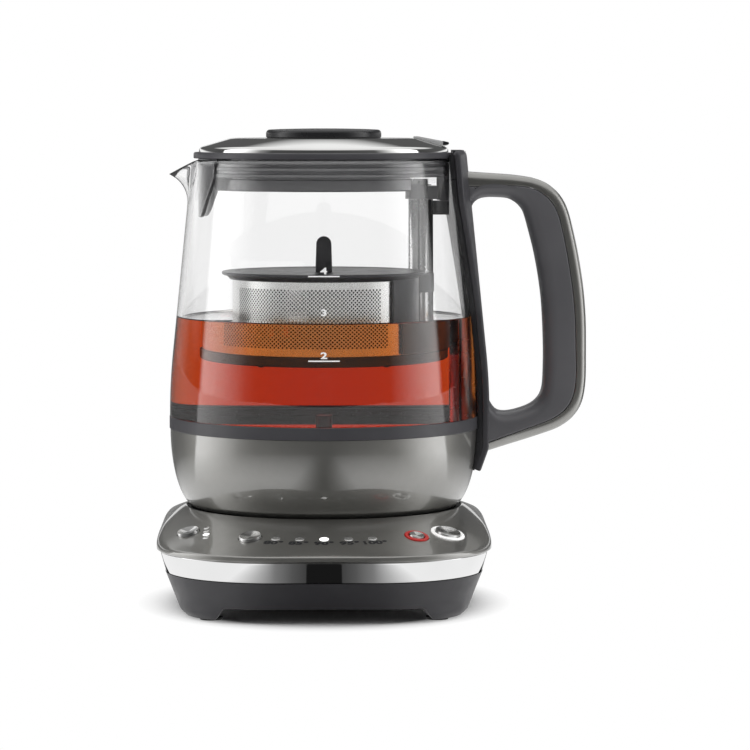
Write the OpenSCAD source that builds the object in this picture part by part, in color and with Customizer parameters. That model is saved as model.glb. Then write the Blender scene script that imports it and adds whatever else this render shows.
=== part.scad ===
// Automatic tea maker: a glass jug with a lifting tea basket, standing on a power base.
// Sizes are in millimetres. Z is up and is the jug's axis, the front faces -Y,
// the handle is on the +X side and the spout on the -X side.

/* [Power base] */
// Width across the base
base_w = 159; // [156:1:175]
// Jug axis to the front of the base
base_front = 107.8; // [105:0.2:120]
// Jug axis to the back of the base
base_back = 78; // [76:1:90]
// Corner radius of the base seen from above
base_corner = 57; // [52:1:60]
// Height of the rim that the jug stands inside
base_h = 45.8; // [44:0.2:60]
// Room round the jug's foot in the opening that it stands in
recess_gap = 5.5; // [4.5:0.1:8.5]
// Depth of the recess under the jug
recess_depth = 3.8; // [3:0.1:5]
// Slope of the control panel, in degrees
panel_slope = 17.6; // [14:0.2:19]
// Height lost between the rim and the shoulder at each side
shoulder_drop = 7.3; // [5:0.1:9]
// Wall of the base cover and the tray
base_wall = 2.2; // [1.6:0.1:2.6]
// Height of the tapered tray
tray_h = 19.8; // [18.5:0.1:21]
// How far the tray's wall is set in under the trim
tray_inset = 4.2; // [4:0.1:5]
// How far the tray's foot is set in from the base's edge
tray_foot_inset = 14.5; // [13:0.5:16]
// Height of the arch between the feet
arch_h = 7.2; // [5:0.1:8]
// Half of the arch's width, seen from the front
arch_half_w = 46; // [40:1:48]
// Height of the front trim
trim_h = 10.3; // [9:0.1:11]
// Thickness of the front trim
trim_t = 1.6; // [1.2:0.1:2]
// Where the trim's ends lie behind the front, at its top edge
trim_run = 43.8; // [38:0.2:46]
// How far the trim's ends slant forward towards its lower edge
trim_slant = 3.5; // [2:0.5:9]
// Rubber foot radius
foot_r = 5.5; // [4:0.1:6]
// Rubber foot height
foot_h = 1.2; // [1:0.1:2]
// Rubber foot distance from the middle, left and right
foot_x = 53; // [51:0.5:55]
// Rubber foot distance in from the front and back edges
foot_in = 30; // [28:0.5:34]
// Radius of the ring that carries the recess floor
rib_r = 51.5; // [48:0.5:56]
// Front screw posts' distance from the middle, left and right
post_front_x = 28.5; // [28:0.5:30]
// Front screw posts' distance behind the front edge
post_front_in = 14.8; // [14.6:0.1:15.4]
// Back screw posts' distance from the middle, left and right
post_back_x = 51; // [50:0.5:52]
// Back screw posts' distance in from the back edge
post_back_in = 27; // [26.5:0.5:28]
// Screw post radius
screw_post_r = 3.5; // [3.2:0.1:3.8]
// Screw shank radius
screw_r = 1.5; // [1.2:0.1:1.8]
// Cord gland bore radius
gland_bore_r = 2.6; // [2:0.1:3]

/* [Controls] */
// Distance of the controls from the jug's axis
control_r = 89; // [88:0.5:91]
// Small button radius
button_r = 5.25; // [4.5:0.05:5.6]
// Start button radius
start_r = 6; // [5:0.1:6.4]
// Keep-warm button radius
keep_warm_r = 3.65; // [3:0.05:4]
// Width of the ring round a button
ring_w = 1.85; // [1.4:0.05:2]
// Button height above the panel
button_proud = 1; // [0.8:0.1:1.4]
// Button travel
button_travel = 1.2; // [0.8:0.1:1.4]
// Angle of the strength button from the front
strength_angle = -46; // [-48:0.5:-45]
// Angle of the temperature button from the front
temperature_angle = -22.8; // [-24:0.2:-21]
// Angle of the keep-warm button from the front
keep_warm_angle = 29.1; // [26:0.1:30]
// Angle of the start button from the front
start_angle = 40.8; // [40:0.2:44]
// Temperature light radius
light_r = 2.2; // [1.5:0.1:2.4]
// Angle between two temperature lights
light_pitch = 7.3; // [6:0.1:7.6]
// Strength light radius
strength_light_r = 1.6; // [1.2:0.1:1.8]
// Distance between two strength lights
strength_pitch = 4.13; // [3.8:0.01:4.4]

/* [Jug] */
// Glass radius at the collar ring
jug_low_r = 75.1; // [72:0.1:78]
// Glass radius at the rim
rim_r = 64; // [63:0.1:67]
// Glass wall thickness
glass_wall = 2.6; // [2:0.1:3]
// Glass height above the collar ring
glass_h = 124.3; // [115:0.1:150]
// Height of the bend where the wall starts to lean in
bend_len = 30; // [20:1:40]
// How far the spout's tip stands outside the collar ring's side
spout_over = 0.5; // [0:0.1:2]
// Depth of the spout under the rim
spout_depth = 21; // [16:0.5:26]
// Half of the spout's width at the rim
spout_half_w = 15; // [11:0.5:18]
// Collar ring height
ring_h = 6.2; // [5.6:0.1:9]
// Metal shell height
shell_h = 38.8; // [34:0.1:50]
// Metal shell radius at its foot
shell_foot_r = 61.5; // [60:0.1:63]
// Metal shell thickness
shell_wall = 1.5; // [1:0.1:1.8]
// Foot plate thickness
foot_plate_h = 2.2; // [1.8:0.1:3]

/* [Lift drive] */
// Lift post's axis inside the glass rim's edge
post_in = 12.1; // [11:0.1:12.5]
// Lift post angle behind the handle
post_angle = 25; // [24:0.5:28]
// Lift post radius
post_r = 5.2; // [4.8:0.05:5.3]
// Lift post bore radius
post_bore_r = 3.6; // [3.4:0.05:3.8]
// Lift post top below the rim
post_drop = 9.8; // [9.6:0.1:11]
// Collar height on the lift post
collar_h = 7.2; // [6:0.1:8]
// Lift screw radius
screw_core_r = 2; // [1.6:0.05:2.2]
// Motor radius
motor_r = 9; // [8:0.1:9.2]
// Motor height
motor_h = 27; // [20:1:28]
// Radius of the heating element's ring
element_r = 30; // [28:0.5:31]
// Radius of the heating element's rod
element_rod_r = 3.5; // [3:0.1:3.8]
// Depth of the cup over the base's connector
cup_h = 8.6; // [8.6:0.1:9.4]
// Carriage height
carriage_h = 14; // [10:1:18]

/* [Handle] */
// Column thickness outside the glass
column_t = 5.7; // [5:0.1:7]
// Half of the column's width at the foot
column_half_w = 12; // [10:0.5:14]
// Half of the column's width at the rim
column_top_half_w = 24.5; // [20:0.5:26]
// Column height above the glass rim
column_rise = 4.7; // [4.4:0.1:6]
// Handle reach from the jug's axis
handle_reach = 127.5; // [120:0.5:135]
// Handle thickness at the grip
grip_t = 20.6; // [18:0.1:24]
// Handle width, front to back
grip_w = 22; // [18:0.5:24]
// Thickness of the outer handle strip
strip_t = 3.2; // [2.4:0.1:4]
// Half angle of the rim bracket
bracket_angle = 12.5; // [10:0.5:14]

/* [Lid] */
// Lid ring's edge inside the glass rim's edge
lid_in = 0.8; // [0.6:0.1:2]
// Lid ring height
lid_ring_h = 3.1; // [2.8:0.1:3.6]
// Steel cover's edge inside the lid ring's edge
cover_in = 2.6; // [1.2:0.1:3.6]
// Width of the slope round the flat top
slope_w = 15.6; // [10.6:0.1:20.6]
// Height of the steel cover above the lid ring
cover_h = 6.7; // [5:0.1:9]
// Steel cover thickness
cover_t = 1; // [0.8:0.1:1.4]
// Knob radius
knob_r = 28; // [22:0.5:32]
// Knob height
knob_h = 4.7; // [4:0.1:8]
// Skirt's side inside the glass rim's edge
skirt_in = 8.5; // [8:0.1:11]
// Skirt wall
skirt_t = 2; // [1.6:0.1:2.4]
// Skirt depth under the rim
skirt_depth = 14.8; // [13:0.1:17]
// Thickness of the spout screen
screen_t = 1.6; // [1.2:0.1:2]
// Half of the spout screen's width at the rim
screen_half_w = 22.5; // [18:0.5:24]
// Radius of the spout screen's lower tip
screen_tip_r = 8; // [6:0.5:10]
// Height of the skirt's upper band, which is whole all round
band_h = 8.8; // [8:0.1:9.4]
// Thumb tab width
tab_w = 12; // [8:0.5:16]

/* [Basket] */
// Basket rim height above the collar ring
basket_rest = 70.1; // [60:0.1:80]
// Basket height, from the rim to the underside
basket_h = 44.4; // [38:0.1:46]
// Basket rim's reach beyond the drum
basket_rim_w = 5.2; // [3.5:0.1:6.5]
// Basket rim thickness
basket_rim_h = 3; // [2.4:0.1:4]
// Lift post's axis outside the steel drum
drum_gap = 7.4; // [7.1:0.1:8.9]
// Steel drum thickness
drum_t = 0.8; // [0.6:0.1:1]
// Height of the basket's bottom ring
bottom_ring_h = 5; // [4:0.1:7]
// Height of the clip on the lift post
clip_h = 9.6; // [8:0.1:12]
// Clip radius round the lift post
clip_r = 7.9; // [7.7:0.05:8.2]
// Basket lid tab width
lid_tab_w = 8.2; // [6:0.1:12]
// Basket lid tab height above the rim
lid_tab_h = 16.8; // [12:0.1:20]

/* [Fits] */
// Gap between pieces that are fixed together side by side
fit = 0.2; // [0.1:0.05:0.3]
// Gap between pieces that move past each other
free = 0.3; // [0.25:0.05:0.4]
// Radial gap of a shaft that turns in its bearing
running = 0.06; // [0.03:0.01:0.1]

/* [Hidden] */
$fn = 96;
eps = 0.01;

// Heights, from the floor up
trim_z = tray_h + trim_h;
recess_z = base_h - recess_depth;
jug_z = recess_z + free;
shell_z = jug_z + foot_plate_h;
shell_top = shell_z + shell_h;
ring_top = shell_top + ring_h;
glass_foot = shell_top + 3;
floor_t = 1.5;
floor_top = shell_top + floor_t;
bend_z = ring_top + 0.5;
rim_z = ring_top + glass_h;
lid_z = rim_z + 0.5;
cover_z = lid_z + lid_ring_h;
cover_top = cover_z + cover_h;
basket_top = ring_top + basket_rest;
basket_foot = basket_top - basket_h;
drum_top = basket_top - basket_rim_h - fit;

// Radii, each from the piece that carries it or passes it
recess_r = shell_foot_r + recess_gap;
lid_r = rim_r - lid_in;
cover_r = lid_r - cover_in;
plateau_r = cover_r - slope_w;
skirt_r = rim_r - skirt_in;
post_at = rim_r - post_in;
drum_r = post_at - drum_gap;
basket_rim_r = drum_r + basket_rim_w;

// Base
tray_floor = arch_h + base_wall;
board_z = tray_h + 0.4;
board_t = 1.6;
foot_front = -base_front + foot_in;
foot_back = base_back - foot_in;
screw_spots = [
    for (x = [-post_front_x, post_front_x]) [x, -base_front + post_front_in],
    for (x = [-post_back_x, post_back_x]) [x, base_back - post_back_in]
];
boss_r = screw_r * 2 + 2.2;
gland_z = arch_h + 6.2;
gland_face = base_back - tray_inset;
connector_r = 15;
hub_r = 17.5;

// Jug wall: straight at the collar ring, then a smooth bend into a steady lean
jug_taper = (jug_low_r - rim_r) / (rim_z - bend_z - bend_len / 2);
jug_levels = [ring_top, for (k = [0:5]) bend_z + k * bend_len / 5, rim_z];
ring_r = jug_low_r + 0.2;
glass_lip_r = jug_low_r - 0.9;
glass_in_r = jug_low_r - glass_wall;
screen_r = rim_r - glass_wall - 0.5;
spout_reach = ring_r + spout_over - rim_r;

// Lift post
post_x = post_at * cos(post_angle);
post_y = post_at * sin(post_angle);
post_top = rim_z - post_drop;
collar_z = post_top - 2.7 - collar_h;
rail_t = 1.7;
rail_w = 6;
clip_mid = basket_top - 6.6;
screw_top = post_top - 10;
motor_z = shell_z + 2.3;
shaft_z = motor_z + motor_h;

// Rim bracket
leg_out_r = rim_r - glass_wall - 0.4;
leg_in_r = leg_out_r - 3.8;
strap_z = rim_z + free;
column_top = rim_z + column_rise;

// Controls
button_depth = 5;
stem_end = -7.5;
switch_top = stem_end - button_travel - free;
panel_sin = sin(panel_slope);
light_angles = [for (k = [-2:2]) k * light_pitch];
strength_x = -55.4;
strength_spots = [for (k = [0:3]) [strength_x, -61.3 - k * strength_pitch]];

// Colours
gunmetal = [0.47, 0.47, 0.45];
dark = [0.25, 0.25, 0.27];
black = [0.09, 0.09, 0.1];
steel = [0.8, 0.8, 0.8];
brass = [0.75, 0.6, 0.3];
amber_glass = [0.85, 0.9, 0.92, 0.35];
rubber = [0.14, 0.14, 0.14];
magnet = [0.4, 0.4, 0.42];
lamp = [0.95, 0.95, 0.9];
red = [0.75, 0.08, 0.06];

// Outer radius of the glass at a height
function jug_r(z) =
    z <= bend_z ? jug_low_r
    : z < bend_z + bend_len ? jug_low_r - jug_taper * pow(z - bend_z, 2) / (2 * bend_len)
    : jug_low_r - jug_taper * (z - bend_z - bend_len / 2);

// Points of the metal shell's curve from its top to its foot, moved in by t
function shell_curve(t) = [
    for (a = [0:10:90])
        [shell_foot_r + (jug_low_r - fit - shell_foot_r - t) * cos(a), shell_top - (shell_h - t) * sin(a)]
];

// Height of the control panel's surface at a distance from the jug's axis
function panel_z(r) = base_h - (r - recess_r) * tan(panel_slope);

function reversed(list) = [for (k = [len(list) - 1:-1:0]) list[k]];

// Points of an outline with rounded corners, each corner given as [x, y, radius]
function rounded(corners, steps = 8) = [
    for (k = [0:len(corners) - 1])
        let (
            n = len(corners),
            p = [corners[k][0], corners[k][1]],
            a = corners[(k + n - 1) % n],
            b = corners[(k + 1) % n],
            to_a = [a[0] - p[0], a[1] - p[1]] / norm([a[0] - p[0], a[1] - p[1]]),
            to_b = [b[0] - p[0], b[1] - p[1]] / norm([b[0] - p[0], b[1] - p[1]]),
            half = acos(to_a * to_b) / 2,
            r = corners[k][2],
            mid = (to_a + to_b) / norm(to_a + to_b),
            centre = p + mid * r / sin(half),
            from = p + to_a * r / tan(half) - centre,
            to = p + to_b * r / tan(half) - centre
        )
        for (s = [0:steps])
            let (v = from * (1 - s / steps) + to * (s / steps))
            centre + v / norm(v) * r
];

// Outline of the base seen from above, moved in by cut, with its own corner radius
module plan(cut, corner) {
    half = base_w / 2 - cut - corner;
    front = -base_front + cut;
    back = base_back - cut;
    for (x = [-half, half], y = [front + corner, back - corner])
        translate([x, y]) circle(corner);
    translate([-half, front]) square([2 * half, back - front]);
    translate([-half - corner, front + corner])
        square([2 * (half + corner), back - front - 2 * corner]);
}

module plan_slice(z, cut, corner) {
    translate([0, 0, z]) linear_extrude(eps) plan(cut, corner, $fn = 64);
}

module tube(r_out, r_in, h) {
    difference() {
        cylinder(h = h, r = r_out);
        translate([0, 0, -1]) cylinder(h = h + 2, r = r_in);
    }
}

// Part of a ring between two radii and two heights, from angle a to angle b about the jug's axis
module arc_ring(r_in, r_out, z1, z2, a, b) {
    rotate([0, 0, a]) rotate_extrude(angle = b - a)
        translate([r_in, z1]) square([r_out - r_in, z2 - z1]);
}

// Frame on the control panel: z stands square to its surface
module on_panel(a, r = control_r) {
    rotate([0, 0, a]) translate([0, -r, panel_z(r)]) rotate([panel_slope, 0, 0]) children();
}

module at_spot(p) {
    on_panel(atan2(p[0], -p[1]), norm(p)) children();
}

module at_post(z = 0) {
    translate([post_x, post_y, z]) children();
}

// ---- power base ----

// The cover's outer form, moved in by cut
module cover_form(cut) {
    side = base_w / 2 - cut;
    top = base_h - cut;
    run = (top - tray_h) / tan(panel_slope);
    intersection() {
        translate([0, 0, trim_z - (cut > 0 ? 1 : 0)])
            linear_extrude(base_h) plan(cut, base_corner - cut);
        translate([0, 0, tray_h]) cylinder(h = top - tray_h, r1 = recess_r + run, r2 = recess_r);
        translate([0, base_back + 1, 0]) rotate([90, 0, 0])
            linear_extrude(base_front + base_back + 2) polygon([
                [-side, tray_h],
                [side, tray_h],
                [side, top - shoulder_drop - 4.5],
                [side - 1, top - shoulder_drop],
                [recess_r + 1 - cut, top + 1.2],
                [-recess_r - 1 + cut, top + 1.2],
                [-side + 1, top - shoulder_drop],
                [-side, top - shoulder_drop - 4.5]
            ]);
    }
}

module base_cover() {
    color(gunmetal) difference() {
        union() {
            difference() {
                cover_form(0);
                cover_form(base_wall);
            }
            // screw posts under the cover
            intersection() {
                cover_form(base_wall / 2);
                for (p = screw_spots)
                    translate([p[0], p[1], 0]) cylinder(h = base_h, r = screw_post_r);
            }
            for (p = screw_spots)
                translate([p[0], p[1], tray_floor + 4]) cylinder(h = trim_z - tray_floor - 3, r = screw_post_r);
        }
        cylinder(h = base_h + 1, r = recess_r);
        for (p = screw_spots)
            translate([p[0], p[1], tray_floor]) cylinder(h = 16, r = screw_r + fit / 2);
        on_panel(strength_angle) panel_hole(button_r + free);
        on_panel(temperature_angle) panel_hole(button_r + free);
        on_panel(keep_warm_angle) panel_hole(keep_warm_r + free + ring_w + fit);
        on_panel(start_angle) panel_hole(start_r + free + ring_w + fit);
        for (a = light_angles) on_panel(a) panel_hole(light_r + fit / 2);
        for (p = strength_spots) at_spot(p) panel_hole(strength_light_r + fit / 2);
    }
}

module panel_hole(r) {
    translate([0, 0, -base_wall - 2]) cylinder(h = base_wall + 4, r = r);
}

module base_trim() {
    // the trim leans in towards its lower edge and its ends are cut on a slant
    color(steel) intersection() {
        difference() {
            hull() {
                plan_slice(tray_h + fit, tray_inset, base_corner - tray_inset);
                plan_slice(trim_z - fit, 1.2, base_corner - 1.2);
            }
            hull() {
                plan_slice(tray_h - 1, tray_inset + trim_t, base_corner - tray_inset - trim_t);
                plan_slice(trim_z + 1, 1.2 + trim_t, base_corner - 1.2 - trim_t);
            }
        }
        translate([-base_w, 0, 0]) rotate([90, 0, 90]) linear_extrude(2 * base_w) polygon([
            [-base_front - 1, tray_h],
            [-base_front + trim_run - trim_slant, tray_h],
            [-base_front + trim_run, trim_z],
            [-base_front - 1, trim_z]
        ]);
    }
}

module base_tray() {
    t = base_wall;
    inner = tray_inset + trim_t + 0.8;
    color(dark) difference() {
        union() {
            difference() {
                hull() {
                    plan_slice(foot_h, tray_foot_inset, 28);
                    plan_slice(foot_h + 2.3, tray_foot_inset - 3, 34);
                    plan_slice(foot_h + 7.8, tray_inset + 4.6, 44);
                    plan_slice(tray_h - eps, tray_inset, base_corner - tray_inset);
                }
                hull() {
                    plan_slice(tray_floor, tray_inset + 4.6 + t, 44 - t);
                    plan_slice(tray_h + 1, inner + t, base_corner - inner - t);
                }
            }
            difference() {
                hull() {
                    plan_slice(tray_h - 1, inner, base_corner - inner);
                    plan_slice(trim_z - 0.3, 3.4 + trim_t, base_corner - 3.4 - trim_t);
                }
                hull() {
                    plan_slice(tray_h - 2, inner + t, base_corner - inner - t);
                    plan_slice(trim_z, 3.4 + trim_t + t, base_corner - 3.4 - trim_t - t);
                }
            }
            // band round the sides and back, level with the trim
            intersection() {
                difference() {
                    hull() {
                        plan_slice(tray_h - 1, tray_inset + 0.3, base_corner - tray_inset - 0.3);
                        plan_slice(trim_z - 0.4, 1.6, base_corner - 1.6);
                    }
                    hull() {
                        plan_slice(tray_h - 2, inner + 0.8, base_corner - inner - 0.8);
                        plan_slice(trim_z, 4.2 + trim_t, base_corner - 4.2 - trim_t);
                    }
                }
                translate([-base_w, 0, 0]) rotate([90, 0, 90]) linear_extrude(2 * base_w) polygon([
                    [-base_front + trim_run - trim_slant + 0.1, tray_h - 3],
                    [-base_front + trim_run + 0.8, trim_z + 1],
                    [base_back + 1, trim_z + 1],
                    [base_back + 1, tray_h - 3]
                ]);
            }
            // ring that carries the recess floor
            translate([0, 0, tray_floor - 1])
                tube(rib_r + 1.5, rib_r - 1.5, recess_z - 2 - tray_floor + 1);
            // bosses under the cover's screw posts
            for (p = screw_spots)
                translate([p[0], p[1], arch_h]) cylinder(h = tray_floor + 3.8 - arch_h, r = boss_r);
            // boss round the cord gland
            translate([0, gland_face, gland_z]) rotate([90, 0, 0])
                cylinder(h = 12, r = gland_bore_r + 3.6);
            // pillars under the control board
            for (x = [-40, 40], s = [0, 1])
                translate([x * (1 - s / 2), -71 - 20 * s, tray_floor - 1])
                    cylinder(h = board_z - tray_floor + 1, r = 3);
        }
        // arches between the feet
        translate([-arch_half_w, -base_front - 1, -1])
            cube([2 * arch_half_w, base_front + base_back + 2, arch_h + 1]);
        translate([-base_w, -60, -1]) cube([2 * base_w, 100, arch_h + 1]);
        for (p = screw_spots) translate([p[0], p[1], 0]) {
            translate([0, 0, -1]) cylinder(h = tray_floor + 2, r = screw_r * 2 + 0.4);
            translate([0, 0, -1]) cylinder(h = tray_floor + 8, r = screw_r + free);
        }
        translate([0, base_back, gland_z]) rotate([90, 0, 0])
            cylinder(h = 30, r = gland_bore_r + 1.6 + fit / 2);
    }
}

module cord_gland() {
    // a bush with a flange on the boss at the tray's back wall
    color(black) translate([0, gland_face + 2, gland_z]) rotate([90, 0, 0]) difference() {
        union() {
            cylinder(h = 2 - eps, r = gland_bore_r + 3.4);
            cylinder(h = 16, r = gland_bore_r + 1.6);
        }
        translate([0, 0, -1]) cylinder(h = 18, r = gland_bore_r);
    }
}

module base_feet() {
    color(rubber) for (x = [-foot_x, foot_x], y = [foot_front, foot_back])
        translate([x, y, 0]) cylinder(h = foot_h, r1 = foot_r - 0.4, r2 = foot_r);
}

module base_screws() {
    color(steel) for (p = screw_spots) translate([p[0], p[1], 0]) {
        translate([0, 0, tray_floor - 1]) cylinder(h = 2, r = screw_r * 2);
        translate([0, 0, tray_floor - 1]) cylinder(h = 14, r = screw_r);
    }
}

module jug_seat() {
    color(black) difference() {
        translate([0, 0, recess_z - 2]) cylinder(h = recess_depth + 1.4, r = recess_r - free);
        translate([0, 0, recess_z]) cylinder(h = recess_depth + 1, r = recess_r - free - 1.8);
        translate([0, 0, recess_z - 3]) cylinder(h = 4, r = hub_r);
    }
}

module base_connector() {
    color(black) difference() {
        union() {
            translate([0, 0, recess_z - 4]) cylinder(h = 2 - eps, r = hub_r + 3);
            translate([0, 0, recess_z - 4]) cylinder(h = 12, r = connector_r);
            // stalk down to the tray
            translate([0, 0, tray_floor + 0.2]) cylinder(h = recess_z - tray_floor - 3, r = hub_r - 4);
        }
        for (r = connector_rings) translate([0, 0, recess_z + 0.5]) tube(r + 1.4, r - 1.4, 10);
        translate([0, 0, recess_z + 0.5]) cylinder(h = 10, r = 2.5);
    }
}

connector_rings = [6.6, 11.6];

module connector_contacts() {
    color(brass) {
        for (r = connector_rings) translate([0, 0, recess_z + 0.5]) tube(r + 0.6, r - 0.6, 3);
        translate([0, 0, recess_z + 0.5]) cylinder(h = 3, r = 1.2);
    }
}

module control_board() {
    color([0.1, 0.35, 0.2]) difference() {
        translate([0, 0, board_z]) linear_extrude(board_t) intersection() {
            plan(tray_inset + trim_t + 4.6, base_corner - 11);
            translate([-base_w / 2, -base_front]) square([base_w, base_front - 56]);
        }
        translate([0, 0, board_z - 1]) cylinder(h = 4, r = rib_r + 3);
        for (p = screw_spots)
            translate([p[0], p[1], board_z - 1]) cylinder(h = 4, r = screw_post_r + 0.7);
    }
}

module button_switches() {
    color(black) difference() {
        union() {
            for (a = [strength_angle, temperature_angle, keep_warm_angle, start_angle])
                on_panel(a) translate([0, 0, switch_top - 20]) cylinder(h = 20, r = 2.6);
        }
        cylinder(h = board_z + board_t, r = base_w);
    }
}

module strength_lights() {
    color(lamp) for (p = strength_spots) at_spot(p) light(strength_light_r);
}

module temperature_lights() {
    color(lamp) for (a = light_angles) on_panel(a) light(light_r);
}

module light(r) {
    translate([0, 0, -base_wall - 0.6]) cylinder(h = base_wall + 0.8, r = r);
}

module panel_ring(r) {
    translate([0, 0, -3]) tube(r + free + ring_w, r + free, 3.5);
}

module keep_warm_ring() {
    color(red) on_panel(keep_warm_angle) panel_ring(keep_warm_r);
}

module start_ring() {
    color(steel) on_panel(start_angle) panel_ring(start_r);
}

// A dished steel button with a flange that keeps it in the panel and a stem over its switch
module button(r) {
    difference() {
        union() {
            translate([0, 0, -button_depth]) cylinder(h = button_depth + button_proud, r = r);
            translate([0, 0, -button_depth]) cylinder(h = 1, r = r + 0.9);
            translate([0, 0, stem_end]) cylinder(h = -stem_end - button_depth + 1, r = 1.8);
        }
        translate([0, 0, button_proud + 3 * r - 0.4]) sphere(r = 3 * r);
    }
}

module strength_button() { color(steel) on_panel(strength_angle) button(button_r); }

module temperature_button() { color(steel) on_panel(temperature_angle) button(button_r); }

module keep_warm_button() { color(steel) on_panel(keep_warm_angle) button(keep_warm_r); }

module start_button() { color(steel) on_panel(start_angle) button(start_r); }

// ---- jug ----

// The spout: a lip drawn out of the rim, moved in by t
module spout_form(t) {
    hull() {
        translate([-rim_r - spout_reach + 1.5 + 1.3 * t, 0, rim_z - 6.2 + 0.9 * t]) sphere(r = 1.5, $fn = 24);
        translate([-jug_r(rim_z - spout_depth) + 1.5 + 1.3 * t, 0, rim_z - spout_depth + 1.5 + 0.9 * t])
            sphere(r = 1.5, $fn = 24);
        for (y = [-1, 1])
            translate([-rim_r + 3.2 + t, y * (spout_half_w - t), rim_z - 1.2 + t]) sphere(r = 1.2, $fn = 24);
        translate([-rim_r - spout_reach / 2 + 1.3 * t, 0, rim_z - 1.6 + t]) sphere(r = 1.5, $fn = 24);
    }
}

module glass_jug() {
    color(amber_glass) difference() {
        union() {
            rotate_extrude() polygon(concat(
                [[glass_lip_r, glass_foot], [glass_lip_r, ring_top]],
                [for (z = jug_levels) [jug_r(z), z]],
                [for (z = reversed(jug_levels)) [jug_r(z) - glass_wall, z]],
                [[glass_in_r, glass_foot]]
            ));
            spout_form(0);
        }
        spout_form(glass_wall);
        rotate_extrude() polygon(concat(
            [[0, bend_z]],
            [for (z = jug_levels) if (z >= bend_z) [jug_r(z) - glass_wall, z]],
            [[0, rim_z]]
        ));
        translate([0, 0, rim_z]) cylinder(h = 10, r = rim_r + 20);
    }
}

module collar_ring() {
    lip = glass_lip_r + fit;
    color(dark) rotate_extrude() polygon([
        [glass_in_r - 1.2, shell_top],
        [ring_r, shell_top],
        [ring_r, ring_top],
        [lip, ring_top],
        [lip, glass_foot],
        [glass_in_r - 1.2, glass_foot]
    ]);
}

module glass_seal() {
    color(rubber) translate([0, 0, glass_foot]) tube(glass_in_r - fit / 2, glass_in_r - 1.3, ring_h - 3.3);
}

module metal_shell() {
    flange_r = glass_in_r - 6;
    color(gunmetal) difference() {
        rotate_extrude() polygon(concat(
            shell_curve(0),
            [[shell_foot_r - 7.5, shell_z], [shell_foot_r - 7.5, shell_z + shell_wall]],
            reversed(shell_curve(shell_wall)),
            [
                [jug_low_r - fit - shell_wall, shell_top - shell_wall],
                [flange_r, shell_top - shell_wall],
                [flange_r, shell_top]
            ]
        ));
        for (z = shell_screw_z) at_shell_screw(z) cylinder(h = 9, r = 1.5 + fit);
    }
}

module jug_floor() {
    out = glass_in_r - 1.5;
    color(steel) difference() {
        union() {
            translate([0, 0, shell_top]) cylinder(h = floor_t, r = out);
            translate([0, 0, shell_top]) tube(out, out - 1, 5);
        }
        at_post(shell_top - 1) cylinder(h = 4, r = screw_core_r + 0.5);
        translate([0, 0, shell_top - 1]) cylinder(h = 4, r = 3.1);
    }
}

module heating_element() {
    r = element_rod_r;
    color(steel) translate([0, 0, shell_top - r - fit / 2]) rotate([0, 0, 110]) {
        rotate_extrude(angle = 310) translate([element_r, 0]) circle(r);
        for (a = [0, 310]) rotate([0, 0, a]) translate([element_r, 0, -9]) cylinder(h = 9, r = 2.2);
    }
}

module temperature_probe() {
    color(steel) translate([0, 0, shell_top - 7]) {
        cylinder(h = floor_t + 12.5, r = 3);
        cylinder(h = 7 - eps, r = 5);
    }
}

module jug_bottom() {
    cup_z = shell_z + shell_wall + free;
    color(dark) difference() {
        union() {
            translate([0, 0, jug_z]) cylinder(h = foot_plate_h - eps, r = shell_foot_r - 1.5);
            translate([0, 0, jug_z]) cylinder(h = cup_z - jug_z, r = shell_foot_r - 7.5 - free);
            at_post(cup_z - eps) cylinder(h = 11, r = motor_r + 1.4);
        }
        at_post(motor_z - fit) cylinder(h = 20, r = motor_r + fit);
        translate([0, 0, jug_z - 1]) cylinder(h = 10, r = connector_r + 3.4);
    }
}

module jug_connector() {
    r_in = connector_r + 0.5;
    color(black) difference() {
        union() {
            translate([0, 0, jug_z + 0.7]) cylinder(h = 11, r = r_in + 2.6);
            translate([0, 0, shell_z + shell_wall + free]) cylinder(h = 2, r = r_in + 5.5);
        }
        translate([0, 0, jug_z]) cylinder(h = cup_h, r = r_in);
    }
}

module jug_contacts() {
    low = recess_z + 3.5 + free;
    color(brass) {
        for (r = connector_rings) translate([0, 0, low]) tube(r + 0.6, r - 0.6, jug_z + cup_h - low);
        translate([0, 0, low]) cylinder(h = jug_z + cup_h - low, r = 1.2);
    }
}

module lift_motor() {
    color(steel) at_post(motor_z) difference() {
        union() {
            cylinder(h = motor_h - 2, r = motor_r);
            cylinder(h = motor_h, r = motor_r - 4);
        }
        translate([0, 0, motor_h - 6]) cylinder(h = 8, r = screw_core_r + running);
    }
}

module lift_post() {
    color(steel) difference() {
        union() {
            at_post(floor_top) cylinder(h = post_top - floor_top, r = post_r);
            at_post(floor_top) cylinder(h = 2, r = post_r + 2);
        }
        at_post(floor_top - 1) cylinder(h = screw_top - floor_top - 0.5, r = post_bore_r);
        at_post(floor_top) cylinder(h = screw_top - floor_top + 0.5, r = screw_core_r + running);
    }
}

module post_rail() {
    // a guide strip along the side of the post that faces the glass
    color(black) difference() {
        at_post(floor_top + 2.2) rotate([0, 0, post_angle]) translate([0, -rail_w / 2, 0])
            cube([post_r + rail_t, rail_w, collar_z - fit - floor_top - 2.2]);
        at_post(floor_top) cylinder(h = post_top, r = post_r + 0.05);
    }
}

module post_collar() {
    color(dark) difference() {
        union() {
            at_post(collar_z) cylinder(h = collar_h, r = post_r + 1.45);
            // arm that reaches to the rim bracket
            translate([leg_in_r - 7, -3, collar_z + 0.4]) cube([5.3, post_y, collar_h - 0.8]);
        }
        at_post(collar_z - 1) cylinder(h = collar_h + 2, r = post_r + 0.1);
    }
}

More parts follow.
